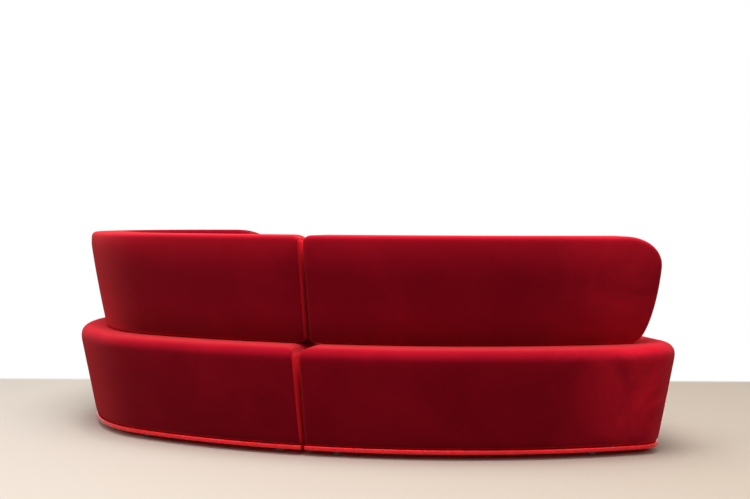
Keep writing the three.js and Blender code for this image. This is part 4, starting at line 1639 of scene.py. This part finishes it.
@dataclass(frozen=True)
class InnerParts:
    """The solids that keep their own shape inside the upholstery and under the boards."""

    plywood: Plywood = Plywood()
    webbing: Webbing = Webbing()
    # Powder coat is sprayed dry and baked, so it is satin with a fine orange peel
    powder_coat: Speckled = Speckled(
        "black_powder_coat", dark="#161617", light="#232325", grain=0.0012, roughness=(0.42, 0.58)
    )
    # Zinc plate is dipped and passivated, so it is bright with a faint cloudy spangle
    zinc: Speckled = Speckled(
        "zinc_plate", dark="#a9adb2", light="#cfd2d6", grain=0.004, roughness=(0.28, 0.42),
        metallic=1.0, strength=0.05,
    )

    def dress(self) -> list[bpy.types.Object]:
        """Gives every solid that still shows its finish.

        Returns:
            Those solids.
        """
        finishes = {
            "plywood": self.plywood.build(),
            "webbing": self.webbing.build(),
            "black_steel": self.powder_coat.build(),
            "zinc_steel": self.zinc.build(),
        }
        slots = {part["node"]: part["material_slot"] for part in frame["record"]["subparts"]}
        dressed = []
        for node, piece in sorted(frame["nodes"].items()):
            if piece.hide_render or slots[node] not in finishes:
                continue
            piece.data.materials.clear()
            piece.data.materials.append(finishes[slots[node]])
            dressed.append(piece)
        return dressed


# Studio


@dataclass(frozen=True)
class Lamp:
    """A square lamp: its place, what it points at, its width in metres and its power in watts."""

    name: str
    place: Triple
    target: Triple
    width: float
    power: float

    def hang(self) -> None:
        """Puts the lamp into the scene."""
        data = bpy.data.lights.new(self.name, "AREA")
        data.size = self.width
        data.energy = self.power
        lamp = bpy.data.objects.new(self.name, data)
        bpy.context.scene.collection.objects.link(lamp)
        lamp.location = self.place
        way = Vector(self.target) - Vector(self.place)
        lamp.rotation_euler = way.to_track_quat("-Z", "Y").to_euler()


@dataclass(frozen=True)
class Studio:
    """The pale floor that ends in a white backdrop, the soft light and the camera behind the sofa."""

    # The floor, whose tone changes from left to right and which throws a darker colour back at the sofa
    floor_left: str = "#e3d8cc"
    floor_right: str = "#d9cab9"
    floor_bounce: str = "#6c5a54"
    floor_size: float = 40.0
    floor_across: Pair = (-1.2, 1.2)
    floor_end: float = 0.85
    floor_end_blur: float = 0.03
    # The light from all round, which grows with the Z of its direction
    light_rise: Pair = (0.2, 0.9)
    light_strength: Pair = (0.05, 0.55)
    lamps: tuple[Lamp, ...] = (
        Lamp("overhead", (-0.35, -1.2, 4.7), (-0.1, -0.5, 0.0), 3.4, 186.0),
        Lamp("right fill", (2.6, -3.1, 2.1), (-0.1, -0.5, 0.15), 1.0, 13.0),
        Lamp("left fill", (-3.2, -2.3, 2.0), (-0.7, -0.2, 0.3), 1.2, 18.0),
    )
    # The camera, with its pitch and roll in degrees and its lens and sensor in millimetres
    camera_place: Triple = (0.0609, -3.3855, 0.761)
    camera_pitch: float = 2.075
    camera_roll: float = 0.23
    lens: float = 43.98
    sensor: float = 36.0

    def build(self) -> None:
        """Builds the stage, the light and the camera."""
        self.build_floor()
        self.build_world()
        for lamp in self.lamps:
            lamp.hang()
        self.build_camera()

    @staticmethod
    def seen(tree: bpy.types.NodeTree) -> bpy.types.Node:
        """Finds the rays that show a background: straight, reflected and refracted ones.

        Args:
            tree: the nodes of a material or the world.

        Returns:
            The node that gives 1 for them and 0 for others.
        """
        rays = add_node(tree, "ShaderNodeLightPath").outputs
        straight = {0: rays["Is Camera Ray"], 1: rays["Is Transmission Ray"]}
        through = add_node(tree, "ShaderNodeMath", straight, operation="MAXIMUM")
        return add_node(tree, "ShaderNodeMath", {0: through, 1: rays["Is Glossy Ray"]}, operation="MAXIMUM")

    def build_floor(self) -> None:
        """Lays the floor."""
        deselect_all()
        bpy.ops.mesh.primitive_plane_add(size=self.floor_size, location=(0.0, 0.0, 0.0))
        floor = bpy.context.object
        floor.name = "floor"
        material, tree, place = new_material("pale_floor")
        parts = add_node(tree, "ShaderNodeSeparateXYZ", {"Vector": place})
        seen = self.seen(tree)
        end = (self.floor_end - self.floor_end_blur, self.floor_end + self.floor_end_blur)
        beyond = add_node(
            tree, "ShaderNodeMapRange", {"Value": parts.outputs["Y"], **span(end)},
            interpolation_type="SMOOTHSTEP",
        )
        across = add_node(
            tree, "ShaderNodeMapRange", {"Value": parts.outputs["X"], **span(self.floor_across)}
        )
        tone = add_node(
            tree, "ShaderNodeMix",
            {"Factor": across, COLOUR_A: linear(self.floor_left), COLOUR_B: linear(self.floor_right)},
            data_type="RGBA",
        )
        colour = add_node(
            tree, "ShaderNodeMix",
            {"Factor": seen, COLOUR_A: linear(self.floor_bounce), COLOUR_B: tone.outputs[COLOUR_RESULT]},
            data_type="RGBA",
        )
        ground = add_node(tree, "ShaderNodeBsdfDiffuse", {"Color": colour.outputs[COLOUR_RESULT]})
        white = add_node(tree, "ShaderNodeEmission", {"Strength": 1.0})
        shown = add_node(tree, "ShaderNodeMath", {0: beyond, 1: seen}, operation="MULTIPLY")
        surface = add_node(tree, "ShaderNodeMixShader", {0: shown, 1: ground, 2: white})
        add_node(tree, "ShaderNodeOutputMaterial", {"Surface": surface})
        floor.data.materials.append(material)

    def build_world(self) -> None:
        """Lights the scene softly from all round, with a white background where the camera looks past."""
        world = bpy.data.worlds.new("studio")
        bpy.context.scene.world = world
        world.use_nodes = True
        tree = world.node_tree
        tree.nodes.clear()
        direction = add_node(tree, "ShaderNodeTexCoord").outputs["Generated"]
        parts = add_node(tree, "ShaderNodeSeparateXYZ", {"Vector": direction})
        strength = add_node(
            tree, "ShaderNodeMapRange",
            {"Value": parts.outputs["Z"], **span(self.light_rise, self.light_strength)},
            interpolation_type="SMOOTHSTEP",
        )
        light, white = (
            add_node(tree, "ShaderNodeBackground", {"Color": linear("#ffffff"), "Strength": amount})
            for amount in (strength, 1.0)
        )
        surface = add_node(tree, "ShaderNodeMixShader", {0: self.seen(tree), 1: light, 2: white})
        add_node(tree, "ShaderNodeOutputWorld", {"Surface": surface})

    def build_camera(self) -> None:
        """Places the camera as the photo has it."""
        data = bpy.data.cameras.new("camera")
        data.lens = self.lens
        data.sensor_width = self.sensor
        camera = bpy.data.objects.new("camera", data)
        bpy.context.scene.collection.objects.link(camera)
        camera.location = self.camera_place
        camera.rotation_mode = "XYZ"
        camera.rotation_euler = (math.radians(90.0 - self.camera_pitch), 0.0, 0.0)
        bpy.context.view_layer.update()
        camera.matrix_world = camera.matrix_world @ Matrix.Rotation(math.radians(self.camera_roll), 4, "Z")
        bpy.context.scene.camera = camera


# Both are one cloth; their bands paint light from above along the rim of the bases and the top of the backs
BASE_VELVET = Velvet(
    "crimson_velvet_base",
    painted_light_bands=(PaintedLightBand(0.03, 0.31, most=0.06, power=1.0), PaintedLightBand(0.320, 0.354, most=0.5, power=1.5)),
    end_most=0.7,
    joint_band=(0.0, 0.0115),
    band_taper=0.014,
)
BACK_VELVET = Velvet(
    "crimson_velvet_back",
    painted_light_bands=(PaintedLightBand(0.56, 0.70, most=0.62, power=1.7),),
    end_most=0.36,
    joint_band=(0.0055, 0.0085),
    band_most=0.6,
    # Painted shade: the colour falls to half at the back's foot
    painted_shade_heights=(0.35, 0.47),
    painted_foot_shade=0.5,
    # Painted shade: the brushed colour and the painted sheen cut to a tenth on the far wing's top
    far_painted_shade=0.1,
    sheen_weight=0.6,
)
# Nylon is moulded, so it is matt and even with a fine tool grain
NYLON = Speckled("moulded_nylon", dark="#b3afa6", light="#c9c5bc", grain=0.0015, roughness=(0.45, 0.6))
# The padding stands a little fuller round the sofa's two ends, most round the half-round one
FULLNESS = {Side.LEFT: 0.009, Side.RIGHT: 0.006}


def main() -> None:
    """Builds the sofa's looks and the studio round it."""
    logging.basicConfig(level=logging.INFO, format="%(name)s %(message)s")
    bpy.context.scene.view_settings.view_transform = "Standard"
    plan = Plan()
    Studio().build()
    base_velvet, back_velvet = BASE_VELVET.build(), BACK_VELVET.build()
    lacquer = Lacquer().build()
    nylon = NYLON.build()
    pieces = []
    for side in Side:
        pieces.append(BaseUpholstery(side, plan, end_fullness=FULLNESS[side]).build(base_velvet))
        pieces.append(BackUpholstery(side, plan).build(back_velvet))
        pieces.append(BaseBoard(side, plan).build(lacquer))
    pieces += Glides().build(nylon)
    pieces += InnerParts().dress()
    for piece in pieces:
        LOG.info("%s: %d faces of %s", piece.name, len(piece.data.polygons), piece.data.materials[0].name)


if __name__ == "__main__":
    main()
